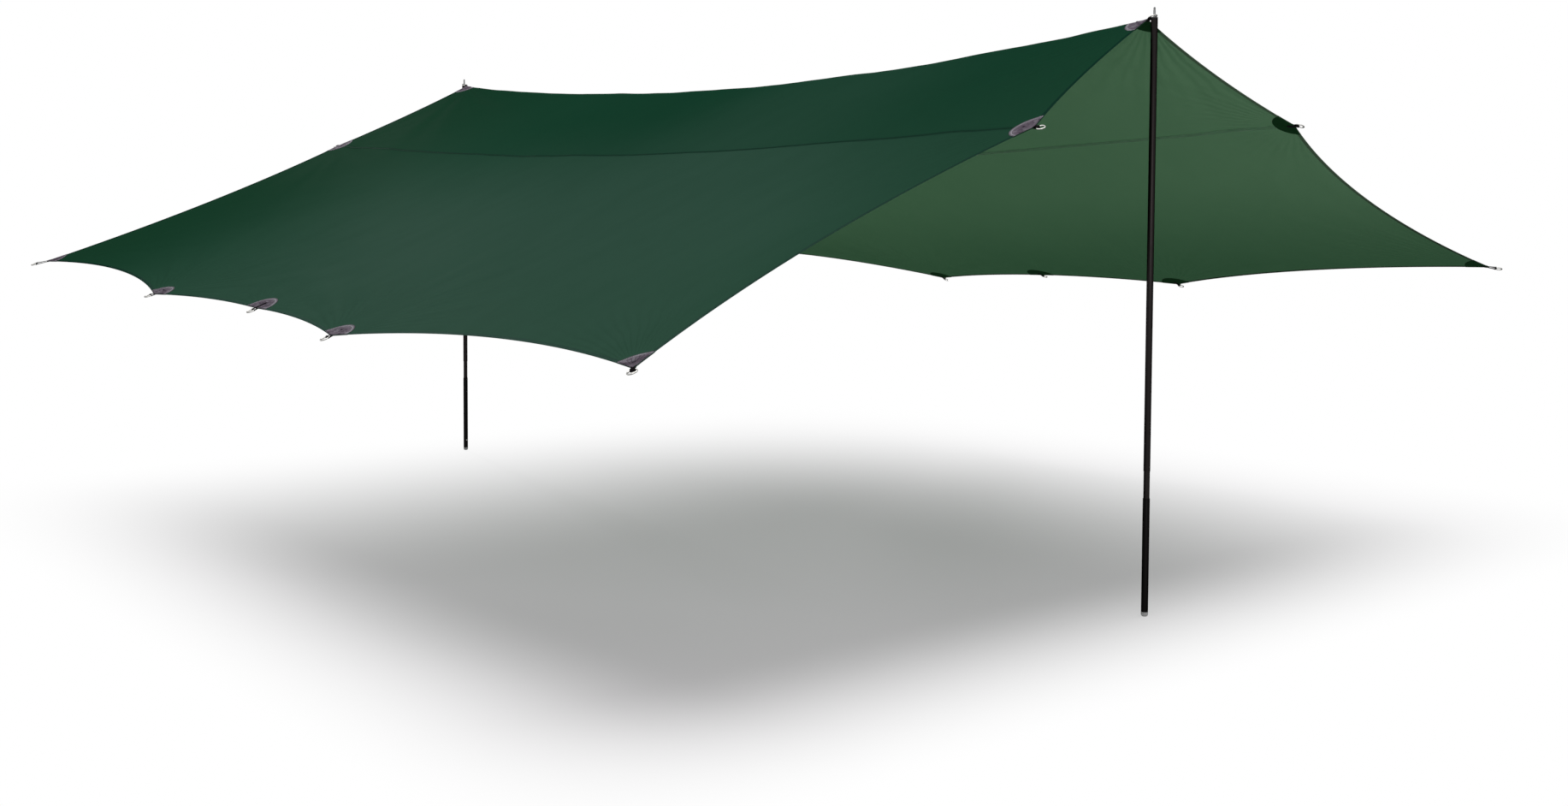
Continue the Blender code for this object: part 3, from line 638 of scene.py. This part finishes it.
def creases():
    """How far the cloth stands off its smooth shape: pull lines at the tabs and faint waves."""
    across, along = np.meshgrid(CUT_LINE, CUT_LINE, indexing="ij")
    draw = np.random.default_rng(7)
    height = np.zeros_like(across)
    for name, ((i, j), _) in knot_places(CELLS).items():
        right = across - CUT_LINE[i]
        ahead = along - CUT_LINE[j]
        reach = np.hypot(right, ahead) + 1e-6
        turn = np.arctan2(ahead, right)
        size, count, spread = {
            "ridge": (0.0014, 15, 0.42), "corner": (0.0012, 22, 0.34),
            "gable": (0.0009, 17, 0.30), "side": (0.0012, 16, 0.32),
        }[name.split("_")[0]]
        lines = np.sin(turn * count + draw.uniform(0, 2 * pi))
        lines += 0.6 * np.sin(turn * count * 1.7 + draw.uniform(0, 2 * pi))
        fade = reach / spread * np.exp(1 - reach / spread) * (1 - np.exp(-(reach / 0.09) ** 2))
        height += size * lines * fade
    for length, size, waves in ((0.75, 0.0011, 7), (0.30, 0.00035, 12), (0.12, 0.00012, 18)):
        for _ in range(waves):
            heading = draw.uniform(0, pi)
            period = length * draw.uniform(0.7, 1.4)
            phase = (across * cos(heading) + along * sin(heading)) / period * 2 * pi
            height += size * np.sin(phase + draw.uniform(0, 2 * pi)) / sqrt(waves) * 1.6
    edge = np.minimum(np.minimum(across, CUT - across), np.minimum(along, CUT - along))
    return height * np.clip(edge / 0.10, 0.0, 1.0)


class Canopy:
    """The pitched cloth as a surface over net coordinates."""

    def __init__(self):
        smooth = pitched_net()
        self.knots = smooth + surface_normals(smooth) * creases()[..., None]
        self.normals = surface_normals(self.knots)

    def sample(self, grid, i, j):
        i = np.clip(i, 0, CELLS)
        j = np.clip(j, 0, CELLS)
        low_i = np.minimum(i.astype(int), CELLS - 1)
        low_j = np.minimum(j.astype(int), CELLS - 1)
        u = (i - low_i)[:, None]
        v = (j - low_j)[:, None]
        near = grid[low_i, low_j] * (1 - u) + grid[low_i + 1, low_j] * u
        far = grid[low_i, low_j + 1] * (1 - u) + grid[low_i + 1, low_j + 1] * u
        return near * (1 - v) + far * v

    def at(self, i, j, lift):
        """Points of the surface, lifted along its normals."""
        i = np.asarray(i, float)
        j = np.asarray(j, float)
        normal = self.sample(self.normals, i, j)
        normal /= np.linalg.norm(normal, axis=1, keepdims=True)
        return self.sample(self.knots, i, j) + normal * np.reshape(lift, (-1, 1))

    def locate(self, tab, inward, sideways):
        """Net coordinates of the points that lie over a place in a tab's own plane."""
        i = np.full(len(inward), float(tab.knot[0]))
        j = np.full(len(inward), float(tab.knot[1]))
        i += 0.5 if tab.knot[0] == 0 else -0.5 if tab.knot[0] == CELLS else 0.0
        j += 0.5 if tab.knot[1] == 0 else -0.5 if tab.knot[1] == CELLS else 0.0
        goal = np.stack([inward, sideways], axis=1)
        plane = np.array([[*(-tab.outward)], [*tab.lateral]])
        tip = np.array(tab.tip)
        step = 0.25
        for _ in range(12):
            here = (self.sample(self.knots, i, j) - tip) @ plane.T
            over_i = np.where(i + step > CELLS, -step, step)
            over_j = np.where(j + step > CELLS, -step, step)
            by_i = ((self.sample(self.knots, i + over_i, j) - tip) @ plane.T - here) / over_i[:, None]
            by_j = ((self.sample(self.knots, i, j + over_j) - tip) @ plane.T - here) / over_j[:, None]
            miss = goal - here
            area = by_i[:, 0] * by_j[:, 1] - by_i[:, 1] * by_j[:, 0]
            move_i = (miss[:, 0] * by_j[:, 1] - miss[:, 1] * by_j[:, 0]) / area
            move_j = (by_i[:, 0] * miss[:, 1] - by_i[:, 1] * miss[:, 0]) / area
            i = np.clip(i + np.clip(move_i, -2, 2), 0, CELLS)
            j = np.clip(j + np.clip(move_j, -2, 2), 0, CELLS)
        return i, j


class Tab:
    """One ring tab: its ring's hinge and the axes of the ring as held."""

    def __init__(self, name, knot):
        self.name = name
        self.knot = knot
        low, high = (Vector(corner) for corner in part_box("ring_" + name))
        centre = (low + high) / 2
        joint = next((item for item in frame["joints"] if item["child"] == "ring_" + name), None)
        self.body = "ring_" + name if joint else "canopy"
        if joint:
            self.hinge = Vector(joint["pos_m"])
            self.lateral = Vector(joint["axis"]).normalized()
            self.outward = (centre - self.hinge).normalized()
        else:
            way = -1 if knot[1] == 0 else 1
            self.lateral = Vector((-way, 0, 0))
            self.outward = Vector((0, way * cos(RING_LEAN), sin(RING_LEAN)))
            self.hinge = centre - self.outward * RING_PIVOT
        self.up = self.outward.cross(self.lateral).normalized()
        self.tip = self.hinge - self.outward * LONG_NECK.get(name, NECK)

    def axes(self):
        """The ring's hinge, with outward, sideways and up as its axes."""
        axes = Matrix((self.outward, self.lateral, self.up)).transposed().to_4x4()
        axes.translation = self.hinge
        return axes


# Making pieces


def show(name, data):
    """Put something in the scene."""
    made = bpy.data.objects.new(name, data)
    bpy.context.scene.collection.objects.link(made)
    return made


def show_mesh(name, bm, material):
    """Put a mesh in the scene with its material."""
    mesh = bpy.data.meshes.new(name)
    bm.to_mesh(mesh)
    bm.free()
    mesh.materials.append(material)
    return show(name, mesh)


def piece(name, bm, finish, body, smooth=None, thickness=0.0, bevel=0.0):
    """Put a mesh in the scene as a finished piece that rides on a body."""
    made = show_mesh(name, bm, FINISHES[finish])
    made.data.shade_smooth()
    if smooth:
        made.data.set_sharp_from_angle(angle=radians(smooth))
    if thickness:
        wall = made.modifiers.new("thickness", "SOLIDIFY")
        wall.thickness = thickness
        wall.offset = 0.0
        wall.use_even_offset = False
    if bevel:
        soft = made.modifiers.new("edges", "BEVEL")
        soft.width = bevel
        soft.segments = 2
        soft.limit_method = "ANGLE"
        soft.angle_limit = radians(50)
    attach(made, body)
    return made


def strip(across, along, place, flat):
    """A sheet whose corner (i, j) goes to place[i, j], and to flat[i, j] in its UV map."""
    bm = bmesh.new()
    bmesh.ops.create_grid(bm, x_segments=across, y_segments=along, size=1.0)
    uv = bm.loops.layers.uv.new("flat")
    numbers = {}
    for corner in bm.verts:
        i = round((corner.co.x + 1) / 2 * across)
        j = round((corner.co.y + 1) / 2 * along)
        numbers[corner] = (i, j)
        corner.co = place[i, j]
    for face in bm.faces:
        for loop in face.loops:
            loop[uv].uv = flat[numbers[loop.vert]]
    return bm


def tidy_normals(bm):
    bmesh.ops.recalc_face_normals(bm, faces=bm.faces)
    if bm.calc_volume(signed=True) < 0:
        bmesh.ops.reverse_faces(bm, faces=bm.faces)
    return bm


def turned(profile, matrix, sides):
    """Spin a profile of (radius, height) about Z and set it in place. Off the axis it closes on itself."""
    bm = bmesh.new()
    points = [bm.verts.new((radius, 0, height)) for radius, height in profile]
    ends = points[1:] + points[:1] if profile[0][0] else points[1:]
    edges = [bm.edges.new(pair) for pair in zip(points, ends)]
    bmesh.ops.spin(
        bm, geom=points + edges, cent=(0, 0, 0), axis=(0, 0, 1), dvec=(0, 0, 0),
        angle=2 * pi, steps=sides, use_merge=True, use_duplicate=False,
    )
    bmesh.ops.remove_doubles(bm, verts=bm.verts, dist=1e-6)
    bmesh.ops.transform(bm, matrix=matrix, verts=bm.verts)
    return tidy_normals(bm)


def thread_row(bm, points, normals, pitch=STITCH_PITCH, length=0.62, width=THREAD):
    """Short raised stitches along a line of points."""
    points = np.asarray(points, float)
    spans = np.linalg.norm(np.diff(points, axis=0), axis=1)
    run = np.concatenate([[0], np.cumsum(spans)])
    count = max(int(run[-1] / pitch), 1)

    def read(values, at):
        return Vector([np.interp(at, run, values[:, k]) for k in range(3)])

    for number in range(count):
        at = (number + 0.5) * run[-1] / count
        place = read(points, at)
        along = (read(points, at + pitch * 0.3) - read(points, at - pitch * 0.3)).normalized()
        side = read(normals, at).cross(along).normalized()
        up = along.cross(side)
        axes = Matrix((along * pitch * length / 2, side * width, up * width * 0.7)).transposed().to_4x4()
        axes.translation = place
        bmesh.ops.create_icosphere(bm, subdivisions=1, radius=1.0, matrix=axes)


# Canopy


def canopy_cloth(canopy):
    """The whole cloth as one sheet, which the hems close at its edges."""
    bm = strip(CELLS, CELLS, canopy.knots, flat_map(CUT_LINE, CUT_LINE))
    made = piece("canopy_cloth", bm, "cloth", "canopy")
    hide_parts("canopy_panel_left", "canopy_panel_centre", "canopy_panel_right")
    return made


def hem_lines(canopy):
    """For each hem: its name, the edge knots, the way inward and the normals."""
    knots = canopy.knots
    normals = canopy.normals
    for name, edge, inner, normal in (
        ("front", knots[:, 0], knots[:, 1], normals[:, 0]),
        ("back", knots[:, -1], knots[:, -2], normals[:, -1]),
        ("left", knots[0], knots[1], normals[0]),
        ("right", knots[-1], knots[-2], normals[-1]),
    ):
        inward = inner - edge
        yield name, edge, inward / np.linalg.norm(inward, axis=1, keepdims=True), normal


def hem_flat(name, profile):
    """Places on the cut cloth under a hem's profile, its inner face marked INNER metres across."""
    depth = np.array([max(a, 0.0) for a, _ in profile])
    flat = flat_map(CUT - depth if name in ("back", "right") else depth, CUT_LINE)
    if name in ("front", "back"):
        flat = flat[..., ::-1]
    flat[..., 0] += np.array([INNER if h < 0 else 0.0 for _, h in profile])[:, None]
    return flat


def hems(canopy):
    """The hem: cloth folded round the edge, held by a row of stitches on each face."""
    made = []
    for name, edge, inward, normal in hem_lines(canopy):
        lift = SIDE_HEM_LIFT if name in ("left", "right") else HEM_LIFT
        profile = [(HEM_WIDTH, 0.35), (HEM_WIDTH - 0.001, 0.95), (0.007, 1.05), (0.003, 1.1), (0.0008, 0.9)]
        profile += [(-0.0006, 0.4), (-0.0006, -0.4)] + [(a, -h) for a, h in reversed(profile)]
        place = np.stack([edge + inward * a + normal * h * lift for a, h in profile])
        bm = strip(len(profile) - 1, CELLS, place, hem_flat(name, profile))
        made.append(piece("hem_" + name, bm, "hem", "canopy", 60, 0.0003))
        for face, way in (("outside", 1), ("inside", -1)):
            bm = bmesh.new()
            row = edge + inward * (HEM_WIDTH - HEM_STITCHES_INSET) + normal * way * (lift + 0.0002)
            thread_row(bm, row, normal * way)
            made.append(piece("hem_stitches_%s_%s" % (name, face), bm, "thread", "canopy"))
    return made


def seams(canopy):
    """Where two widths of cloth join: felled seam outside, its allowance and sealing tape inside."""
    made = []
    for side, column in (("left", THIRD), ("right", CELLS - THIRD)):
        across = canopy.knots[column + 1] - canopy.knots[column - 1]
        across /= np.linalg.norm(across, axis=1, keepdims=True)
        centre = canopy.knots[column]
        normal = canopy.normals[column]
        for name, half, way, lift, finish in (
            ("felled_seam_", SEAM_WIDTH / 2, 1, 0.00045, "seam"),
            ("seam_allowance_", SEAM_WIDTH / 2, -1, 0.00035, "seam_inside"),
            ("seam_tape_inside_", TAPE_WIDTH / 2, -1, 0.00070, "tape"),
        ):
            rows = [(-1, 0.6), (-0.9, 1.0), (-0.2, 1.05), (0.2, 1.05), (0.9, 1.0), (1, 0.6)]
            lines = surface_offsets(canopy, column, [half * a for a, _ in rows])
            place = np.stack([line + normal * way * lift * h for line, (_, h) in zip(lines, rows)])
            bm = strip(len(rows) - 1, CELLS, place, flat_map([(a + 1) / 2 for a, _ in rows], CUT_LINE))
            sheet = piece(name + side, bm, finish, "canopy", 60, 0.0002)
            if finish == "tape":
                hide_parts("seam_tape_" + side)
            made.append(sheet)
        bm = bmesh.new()
        for offset in (-SEAM_STITCHES_OFFSET, SEAM_STITCHES_OFFSET):
            thread_row(bm, centre + across * offset + normal * 0.0007, normal)
        made.append(piece("seam_stitches_" + side, bm, "thread", "canopy"))
    return made


def surface_offsets(canopy, column, offsets):
    """Lines of the surface at small distances to either side of a net column."""
    lines = []
    for offset in offsets:
        way = 1 if offset > 0 else -1
        step = canopy.knots[column + way] - canopy.knots[column]
        share = abs(offset) / np.linalg.norm(step, axis=1, keepdims=True)
        lines.append(canopy.knots[column] + step * share)
    return lines


# Ring tabs


def hem_turns(canopy, tab, reach):
    """Angles from straight inward to the hem on both sides of a tab, at distances from its tip."""
    i, j = tab.knot
    turns = {}
    for step_i, step_j in ((1, 0), (-1, 0), (0, 1), (0, -1)):
        path = [(i + step_i * n, j + step_j * n) for n in range(1, 8)]
        inside = all(0 <= a <= CELLS and 0 <= b <= CELLS for a, b in path)
        on_hem = path[0][0] in (0, CELLS) or path[0][1] in (0, CELLS)
        if inside and on_hem:
            away = np.array([canopy.knots[a, b] for a, b in path]) - np.array(tab.tip)
            inward = -away @ np.array(tab.outward)
            sideways = away @ np.array(tab.lateral)
            turn = np.arctan2(np.abs(sideways), inward)
            turns[sideways[0] > 0] = np.interp(reach, np.linalg.norm(away, axis=1), turn)
    return turns[False], turns[True]


def around_tip(canopy, tab, reach, share, inset):
    """Net coordinates at distances from a tab's tip, share running from -1 at one hem to 1 at the other."""
    low, high = hem_turns(canopy, tab, reach)
    low = low - inset / reach
    high = high - inset / reach
    turn = (high - low) / 2 + share * (high + low) / 2
    inward = reach * np.cos(turn)
    sideways = reach * np.sin(turn)
    tip = np.array(tab.tip)
    for _ in range(2):
        i, j = canopy.locate(tab, inward.ravel(), sideways.ravel())
        found = np.linalg.norm(canopy.at(i, j, 0.0) - tip, axis=1).reshape(turn.shape)
        inward = inward * reach / found
        sideways = sideways * reach / found
    return *canopy.locate(tab, inward.ravel(), sideways.ravel()), inward, sideways


def over_hem(i, j):
    """1 on the hem's fold, 0 on the single cloth."""
    depth = np.minimum(np.minimum(i, CELLS - i), np.minimum(j, CELLS - j)) * CUT / CELLS
    return 1 - np.clip((depth - HEM_WIDTH + 0.001) / 0.004, 0, 1)


def patch_lift(tab, i, j, inward, sideways, face):
    """Height of a patch's middle over the cloth. It rides over the hem and over the webbing's end."""
    lift = PATCH_LIFT + over_hem(i, j) * PATCH_OVER_HEM
    if face == "outside" and "middle" not in tab.name:
        beside = 1 - np.clip((np.abs(sideways) - WEBBING_WIDTH / 2) / PATCH_SLOPE, 0, 1)
        beyond = 1 - np.clip((inward - UPPER_LEG) / PATCH_SLOPE, 0, 1)
        lift = lift + (beside * beyond).ravel() * WEBBING_THICKNESS
    return lift if face == "outside" else -lift


def tab_patch(canopy, tab, face):
    """The reinforcement on one face of the cloth, with its rows of stitches."""
    corner = tab.name.startswith("corner")
    radius = CORNER_PATCH_RADIUS if corner else HEM_PATCH_RADIUS
    across, along = 36, 26
    reach = np.linspace(0.03, 1, along + 1)[None, :] * (radius if face == "outside" else radius - 0.001)
    share = np.linspace(-1, 1, across + 1)[:, None]
    i, j, inward, sideways = around_tip(canopy, tab, reach, share, 0.0006)
    lift = patch_lift(tab, i, j, inward, sideways, face)
    place = canopy.at(i, j, lift).reshape(across + 1, along + 1, 3)
    bm = strip(across, along, place, np.stack([sideways, inward], axis=2))
    finish = "patch_shadow" if face == "inside" else "corner_patch" if corner else "patch"
    name = "patch_%s_%s" % (tab.name, face)
    made = [piece(name, bm, finish, "canopy", 60, PATCH_THICKNESS)]
    if face == "outside":
        bm = bmesh.new()
        for reach, share in patch_rows(corner, radius):
            sew_row(canopy, tab, bm, *around_tip(canopy, tab, reach, share, 0.004))
        width = np.linspace(-0.0055, 0.0055, 7)
        for bar in np.linspace(UPPER_LEG - 0.0034, UPPER_LEG + 0.0014, 5):
            inward = np.full(7, bar)
            sew_row(canopy, tab, bm, *canopy.locate(tab, inward, width), inward, width, 0.0022)
        made.append(piece("patch_stitches_" + tab.name, bm, "grey_thread", "canopy"))
    return made


def sew_row(canopy, tab, bm, i, j, inward, sideways, pitch=0.004):
    """A row of stitches that lies on an outer patch."""
    lift = patch_lift(tab, i, j, inward, sideways, "outside") + PATCH_THICKNESS / 2 + 0.0001
    points = canopy.at(i, j, lift)
    thread_row(bm, points, canopy.at(i, j, 1.0) - canopy.at(i, j, 0.0), pitch, 0.72, PATCH_THREAD)


def patch_rows(corner, radius):
    """Rows of stitches on a patch, as distances from the tip and shares of the way between the hems."""
    line = np.linspace(-1, 1, 33)
    rows = [(np.full(33, radius - 0.005), line), (np.full(33, radius - 0.011), line * 0.97)]
    side = np.linspace(0.016, radius - 0.005, 17)
    rows += [(side, np.full(17, way)) for way in (-1.0, 1.0)]
    if corner:
        ray = np.linspace(0.020, radius - 0.013, 15)
        rows += [(ray, np.full(15, way)) for way in (-0.6, -0.3, 0.0, 0.3, 0.6)]
    return rows


def webbing(canopy, tab):
    """Webbing folded round the ring wire. Its upper end is sewn under the patch, or on it at a middle tab."""
    width = np.linspace(-WEBBING_WIDTH / 2, WEBBING_WIDTH / 2, 7)
    on_top = "middle" in tab.name
    legs = []
    for face, length in ((1, UPPER_LEG), (-1, LOWER_LEG)):
        leg = []
        for inward in np.linspace(length, 0.002, 14):
            i, j = canopy.locate(tab, np.full(7, inward), width)
            lift = PATCH_LIFT + over_hem(i, j) * WEBBING_OVER_HEM
            if face < 0 or on_top:
                lift = lift + WEBBING_THICKNESS
            leg.append(canopy.at(i, j, lift * face))
        legs.append(leg)
    loop = []
    axes = tab.axes()
    for turn in np.linspace(radians(130), radians(-130), 17):
        spot = [axes @ Vector((LOOP_RADIUS * cos(turn), side, LOOP_RADIUS * sin(turn))) for side in width]
        loop.append(np.array([list(point) for point in spot]))
    place = np.stack(legs[0] + loop + legs[1][::-1], axis=1)
    run = np.concatenate([[0], np.cumsum(np.linalg.norm(np.diff(place[3], axis=0), axis=1))])
    bm = strip(6, place.shape[1] - 1, place, flat_map(width, run))
    name = "webbing_" + tab.name
    strap = piece(name, bm, "webbing", "canopy", 60, WEBBING_THICKNESS, 0.0003)
    bm = bmesh.new()
    face = 1 if on_top else -1
    first, last = 0.009, (UPPER_LEG if on_top else LOWER_LEG) - 0.003
    box = [(first, -0.004), (last, -0.004), (last, 0.004), (first, 0.004), (first, -0.004)]
    for row in (box, [(first, -0.004), (last, 0.004)], [(first, 0.004), (last, -0.004)]):
        inward, sideways = np.concatenate([np.linspace(*pair, 9) for pair in zip(row, row[1:])]).T
        i, j = canopy.locate(tab, inward, sideways)
        middle = PATCH_LIFT + WEBBING_THICKNESS + over_hem(i, j) * WEBBING_OVER_HEM
        lift = (middle + WEBBING_THICKNESS / 2 + 0.0001) * face
        normals = (canopy.at(i, j, 1.0) - canopy.at(i, j, 0.0)) * face
        thread_row(bm, canopy.at(i, j, lift), normals, 0.003, 0.66, WEBBING_THREAD)
    sewn = piece("webbing_stitches_" + tab.name, bm, "grey_thread", "canopy")
    return [strap, sewn]


def ring(tab):
    """Welded wire ring that sits in the webbing loop."""
    bm = bmesh.new()
    section = Matrix.Translation((RING_PIVOT + RING_CENTRE_LINE, 0, 0)) @ Matrix.Rotation(pi / 2, 4, "X")
    bmesh.ops.create_circle(bm, segments=18, radius=WIRE_RADIUS, matrix=section)
    bmesh.ops.spin(
        bm, geom=bm.verts[:] + bm.edges[:], cent=(RING_PIVOT, 0, 0), axis=(0, 0, 1), dvec=(0, 0, 0),
        angle=2 * pi, steps=72, use_merge=True, use_duplicate=False,
    )
    bmesh.ops.remove_doubles(bm, verts=bm.verts, dist=1e-6)
    weld = radians(62)
    for corner in bm.verts:
        away = atan2(corner.co.y, corner.co.x - RING_PIVOT) - weld
        swell = 1 + 0.07 * cos(min(abs(away) / radians(7), 1) * pi / 2)
        turn = away + weld
        core = Vector((RING_PIVOT + RING_CENTRE_LINE * cos(turn), RING_CENTRE_LINE * sin(turn), 0))
        corner.co = core + (corner.co - core) * swell
    bmesh.ops.transform(bm, matrix=tab.axes(), verts=bm.verts)
    made = piece("round_ring_" + tab.name, tidy_normals(bm), "steel", tab.body, 60)
    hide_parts("ring_" + tab.name)


# Poles


def quarter(steps):
    """Sines and cosines over a quarter turn."""
    return [(sin(pi / 2 * k / steps), cos(pi / 2 * k / steps)) for k in range(steps + 1)]


def tube(radius, bore, low, high):
    """Closed profile of a tube with softened ends."""
    edge = 0.0002
    profile = [(radius - edge, high), (radius - edge * 0.3, high - edge * 0.3), (radius, high - edge)]
    profile += [(radius, low + edge), (radius - edge * 0.3, low + edge * 0.3), (radius - edge, low)]
    profile += [(bore + edge * 0.5, low), (bore, low + edge * 0.5), (bore, high - edge * 0.5)]
    return profile + [(bore + edge * 0.5, high)]


def lower_tube(low, high):
    """Profile of the lower tube, chamfered at its open end."""
    radius = LOWER_RADIUS
    profile = [(radius - 0.0006, high), (radius - 0.0002, high - 0.0005), (radius, high - 0.0013)]
    profile += [(radius, low + 0.0003), (radius - 0.0003, low)]
    return profile + [(LOWER_BORE, low), (LOWER_BORE, high)]


def top_cap(low, high):
    """Profile of the cap: a flange with a rounded rim over a plug."""
    plug = MAIN_BORE - FIT
    flange = high - CAP_FLANGE
    profile = [(CAP_BORE, high - 0.0004), (CAP_BORE + 0.0004, high)]
    profile += [(MAIN_RADIUS - CAP_ROUND * (1 - s), high - CAP_ROUND * (1 - c)) for s, c in quarter(3)]
    profile += [(MAIN_RADIUS, flange + 0.0002), (MAIN_RADIUS - 0.0002, flange), (plug, flange)]
    return profile + [(plug, low + 0.001), (plug - 0.001, low), (CAP_BORE, low)]


def spike(low, high):
    """Profile of the pin, with a round nose and a shallow groove."""
    radius = SPIKE_RADIUS
    groove = CAP_TOP + SPIKE_GROOVE
    profile = [(radius * s, high - SPIKE_NOSE * (1 - c)) for s, c in quarter(8)]
    profile += [(radius, groove + 0.0016), (radius - 0.0007, groove + 0.0008)]
    profile += [(radius - 0.0007, groove - 0.0008), (radius, groove - 0.0016)]
    return profile + [(radius, low), (0, low)]


def foot_cap(tube_end, high):
    """Profile of the rounded foot, with a shallow groove round its rim and a plug in the tube."""
    top = tube_end - FIT
    plug = LOWER_BORE - FIT
    rim = FOOT_RIM
    profile = [(0, high), (plug - 0.0008, high), (plug, high - 0.0008), (plug, top)]
    profile += [(rim - 0.0006, top), (rim, top - 0.0006), (rim, top - 0.0030), (rim - 0.0005, top - 0.0036)]
    profile += [(rim - 0.0005, top - 0.0042), (rim, top - 0.0048)]
    profile += [(FOOT_FACE + (rim - FOOT_FACE) * c, top * 0.6 * (1 - s)) for s, c in quarter(10)]
    return profile + [(0, 0)]


def rivet():
    """Profile of the domed rivet that holds the foot in the lower tube."""
    seat = LOWER_RADIUS + FIT
    profile = [(RIVET_HEAD * s, seat + 0.0002 + RIVET_DOME * c) for s, c in quarter(8)]
    return profile + [(RIVET_HEAD, seat), (RIVET_SHANK, seat), (RIVET_SHANK, seat - 0.005), (0, seat - 0.005)]


def pole(end, way):
    """Main tube, slide tube, lower tube, cap, spike, foot and rivet of one pole."""
    heights = {key: [corner[2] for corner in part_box("pole_%s_%s" % (key, end))] for key in (
        "main_tube", "slide_tube", "lower_tube", "top_cap", "spike", "foot_cap", "foot_rivet")}
    upright = Matrix.Translation((0, way * POLE_OFFSET, 0))
    rivet_level = Matrix.Translation((0, 0, sum(heights["foot_rivet"]) / 2))
    lying = rivet_level @ upright @ Matrix.Rotation(way * pi / 2, 4, "X")
    foot = foot_cap(heights["lower_tube"][0], heights["foot_cap"][1])
    for key, body, slot, finish, profile, place, sides in (
        ("main_tube", "pole", "grey_tube", "grey_tube",
         tube(MAIN_RADIUS, MAIN_BORE, *heights["main_tube"]), upright, ROUND_SIDES),
        ("slide_tube", "foot", "grey_tube", "grey_tube",
         tube(SLIDE_RADIUS, SLIDE_BORE, *heights["slide_tube"]), upright, ROUND_SIDES),
        ("lower_tube", "foot", "black_tube", "black_tube",
         lower_tube(*heights["lower_tube"]), upright, ROUND_SIDES),
        ("top_cap", "pole", "black_plastic", "black_plastic",
         top_cap(*heights["top_cap"]), upright, ROUND_SIDES),
        ("spike", "pole", "steel", "spike", spike(*heights["spike"]), upright, SPIKE_SIDES),
        ("foot_cap", "foot", "foot_plastic", "foot_plastic", foot, upright, ROUND_SIDES),
        ("foot_rivet", "foot", "steel", "steel", rivet(), lying, RIVET_SIDES),
    ):
        name = "%s_%s" % (key, end)
        made = piece("round_" + name, turned(profile, place, sides), finish, body + "_" + end, 35)
        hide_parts("pole_" + name)


# Stage, light and camera


def stage():
    """A pale floor that turns white away from the tarp's shadow; in the shadow it glows a little, which
    lightens it.
    """
    paint = Finish("floor paint", FLOOR_COLOUR, 1.0, Specular_IOR_Level=0.0)
    bm = bmesh.new()
    bmesh.ops.create_grid(bm, x_segments=1, y_segments=1, size=FLOOR_SIZE)
    floor = show_mesh("floor", bm, paint.material)
    floor.location.z = -0.0005
    x, y, _ = paint.parts(paint.place())
    away = {"left": x * -1, "right": x, "front": y * -1, "back": y}
    shade = 1.0 - FLOOR_GLOW
    for side, start, end in FLOOR_EDGES:
        shade = (1 - away[side].between(start, end)) * shade
    glow = paint.node("ShaderNodeEmission", {}, Color=(1, 1, 1, 1), Strength=1.0)
    paint.blend((1 - shade) * paint.seen_directly(), glow)


def sky():
    """A soft even surround that looks white in the picture."""
    world = bpy.data.worlds.new("surround")
    bpy.context.scene.world = world
    world.use_nodes = True
    world.node_tree.nodes["Background"].inputs["Color"].default_value = (1, 1, 1, 1)
    world.node_tree.nodes["Background"].inputs["Strength"].default_value = SURROUND
    paint = Nodes(world.node_tree)
    white = paint.node("ShaderNodeBackground", {}, Color=(1, 1, 1, 1), Strength=1.0)
    paint.blend(paint.seen_directly(), white)


def lamp(name, place, target, size, power):
    """A square soft box."""
    light = bpy.data.lights.new(name, "AREA")
    light.shape = "SQUARE"
    light.size = size
    light.energy = power
    made = show(name, light)
    made.location = place
    made.rotation_euler = (Vector(target) - Vector(place)).to_track_quat("-Z", "Y").to_euler()


def camera():
    ahead = Vector((cos(HEADING) * cos(DIP), sin(HEADING) * cos(DIP), -sin(DIP)))
    level = Vector((sin(HEADING), -cos(HEADING), 0))
    above = level.cross(ahead)
    right = level * cos(ROLL) + above * sin(ROLL)
    up = above * cos(ROLL) - level * sin(ROLL)
    axes = Matrix((right, up, -ahead)).transposed().to_4x4()
    axes.translation = EYE
    data = bpy.data.cameras.new("camera")
    data.lens = LENS
    data.sensor_width = SENSOR
    data.shift_y = SHIFT_Y
    made = show("camera", data)
    made.matrix_world = axes
    bpy.context.scene.camera = made


def carried_over():
    """Finishes of the solids that are shown as they are."""
    for name, solid in frame["nodes"].items():
        finish = "steel" if "lock_screw" in name else "black_plastic" if "lock_sleeve" in name else None
        if finish:
            for slot in solid.material_slots:
                slot.material = FINISHES[finish]


def build():
    canopy = Canopy()
    cloth = canopy_cloth(canopy)
    on_cloth = hems(canopy) + seams(canopy)
    knots = {name: knot for name, (knot, _) in knot_places(CELLS).items()}
    knots["side_middle_left"] = (0, MIDDLE)
    knots["side_middle_right"] = (CELLS, MIDDLE)
    for name, knot in knots.items():
        tab = Tab(name, knot)
        outside = tab_patch(canopy, tab, "outside")
        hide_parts("tab_" + name)
        on_cloth += outside + tab_patch(canopy, tab, "inside") + webbing(canopy, tab)
        ring(tab)
    pole("front", -1)
    pole("back", 1)
    carried_over()
    stage()
    sky()
    for values in LAMPS:
        lamp(*values)
    camera()


build()
bpy.context.scene.view_settings.view_transform = "Standard"
bpy.context.view_layer.update()
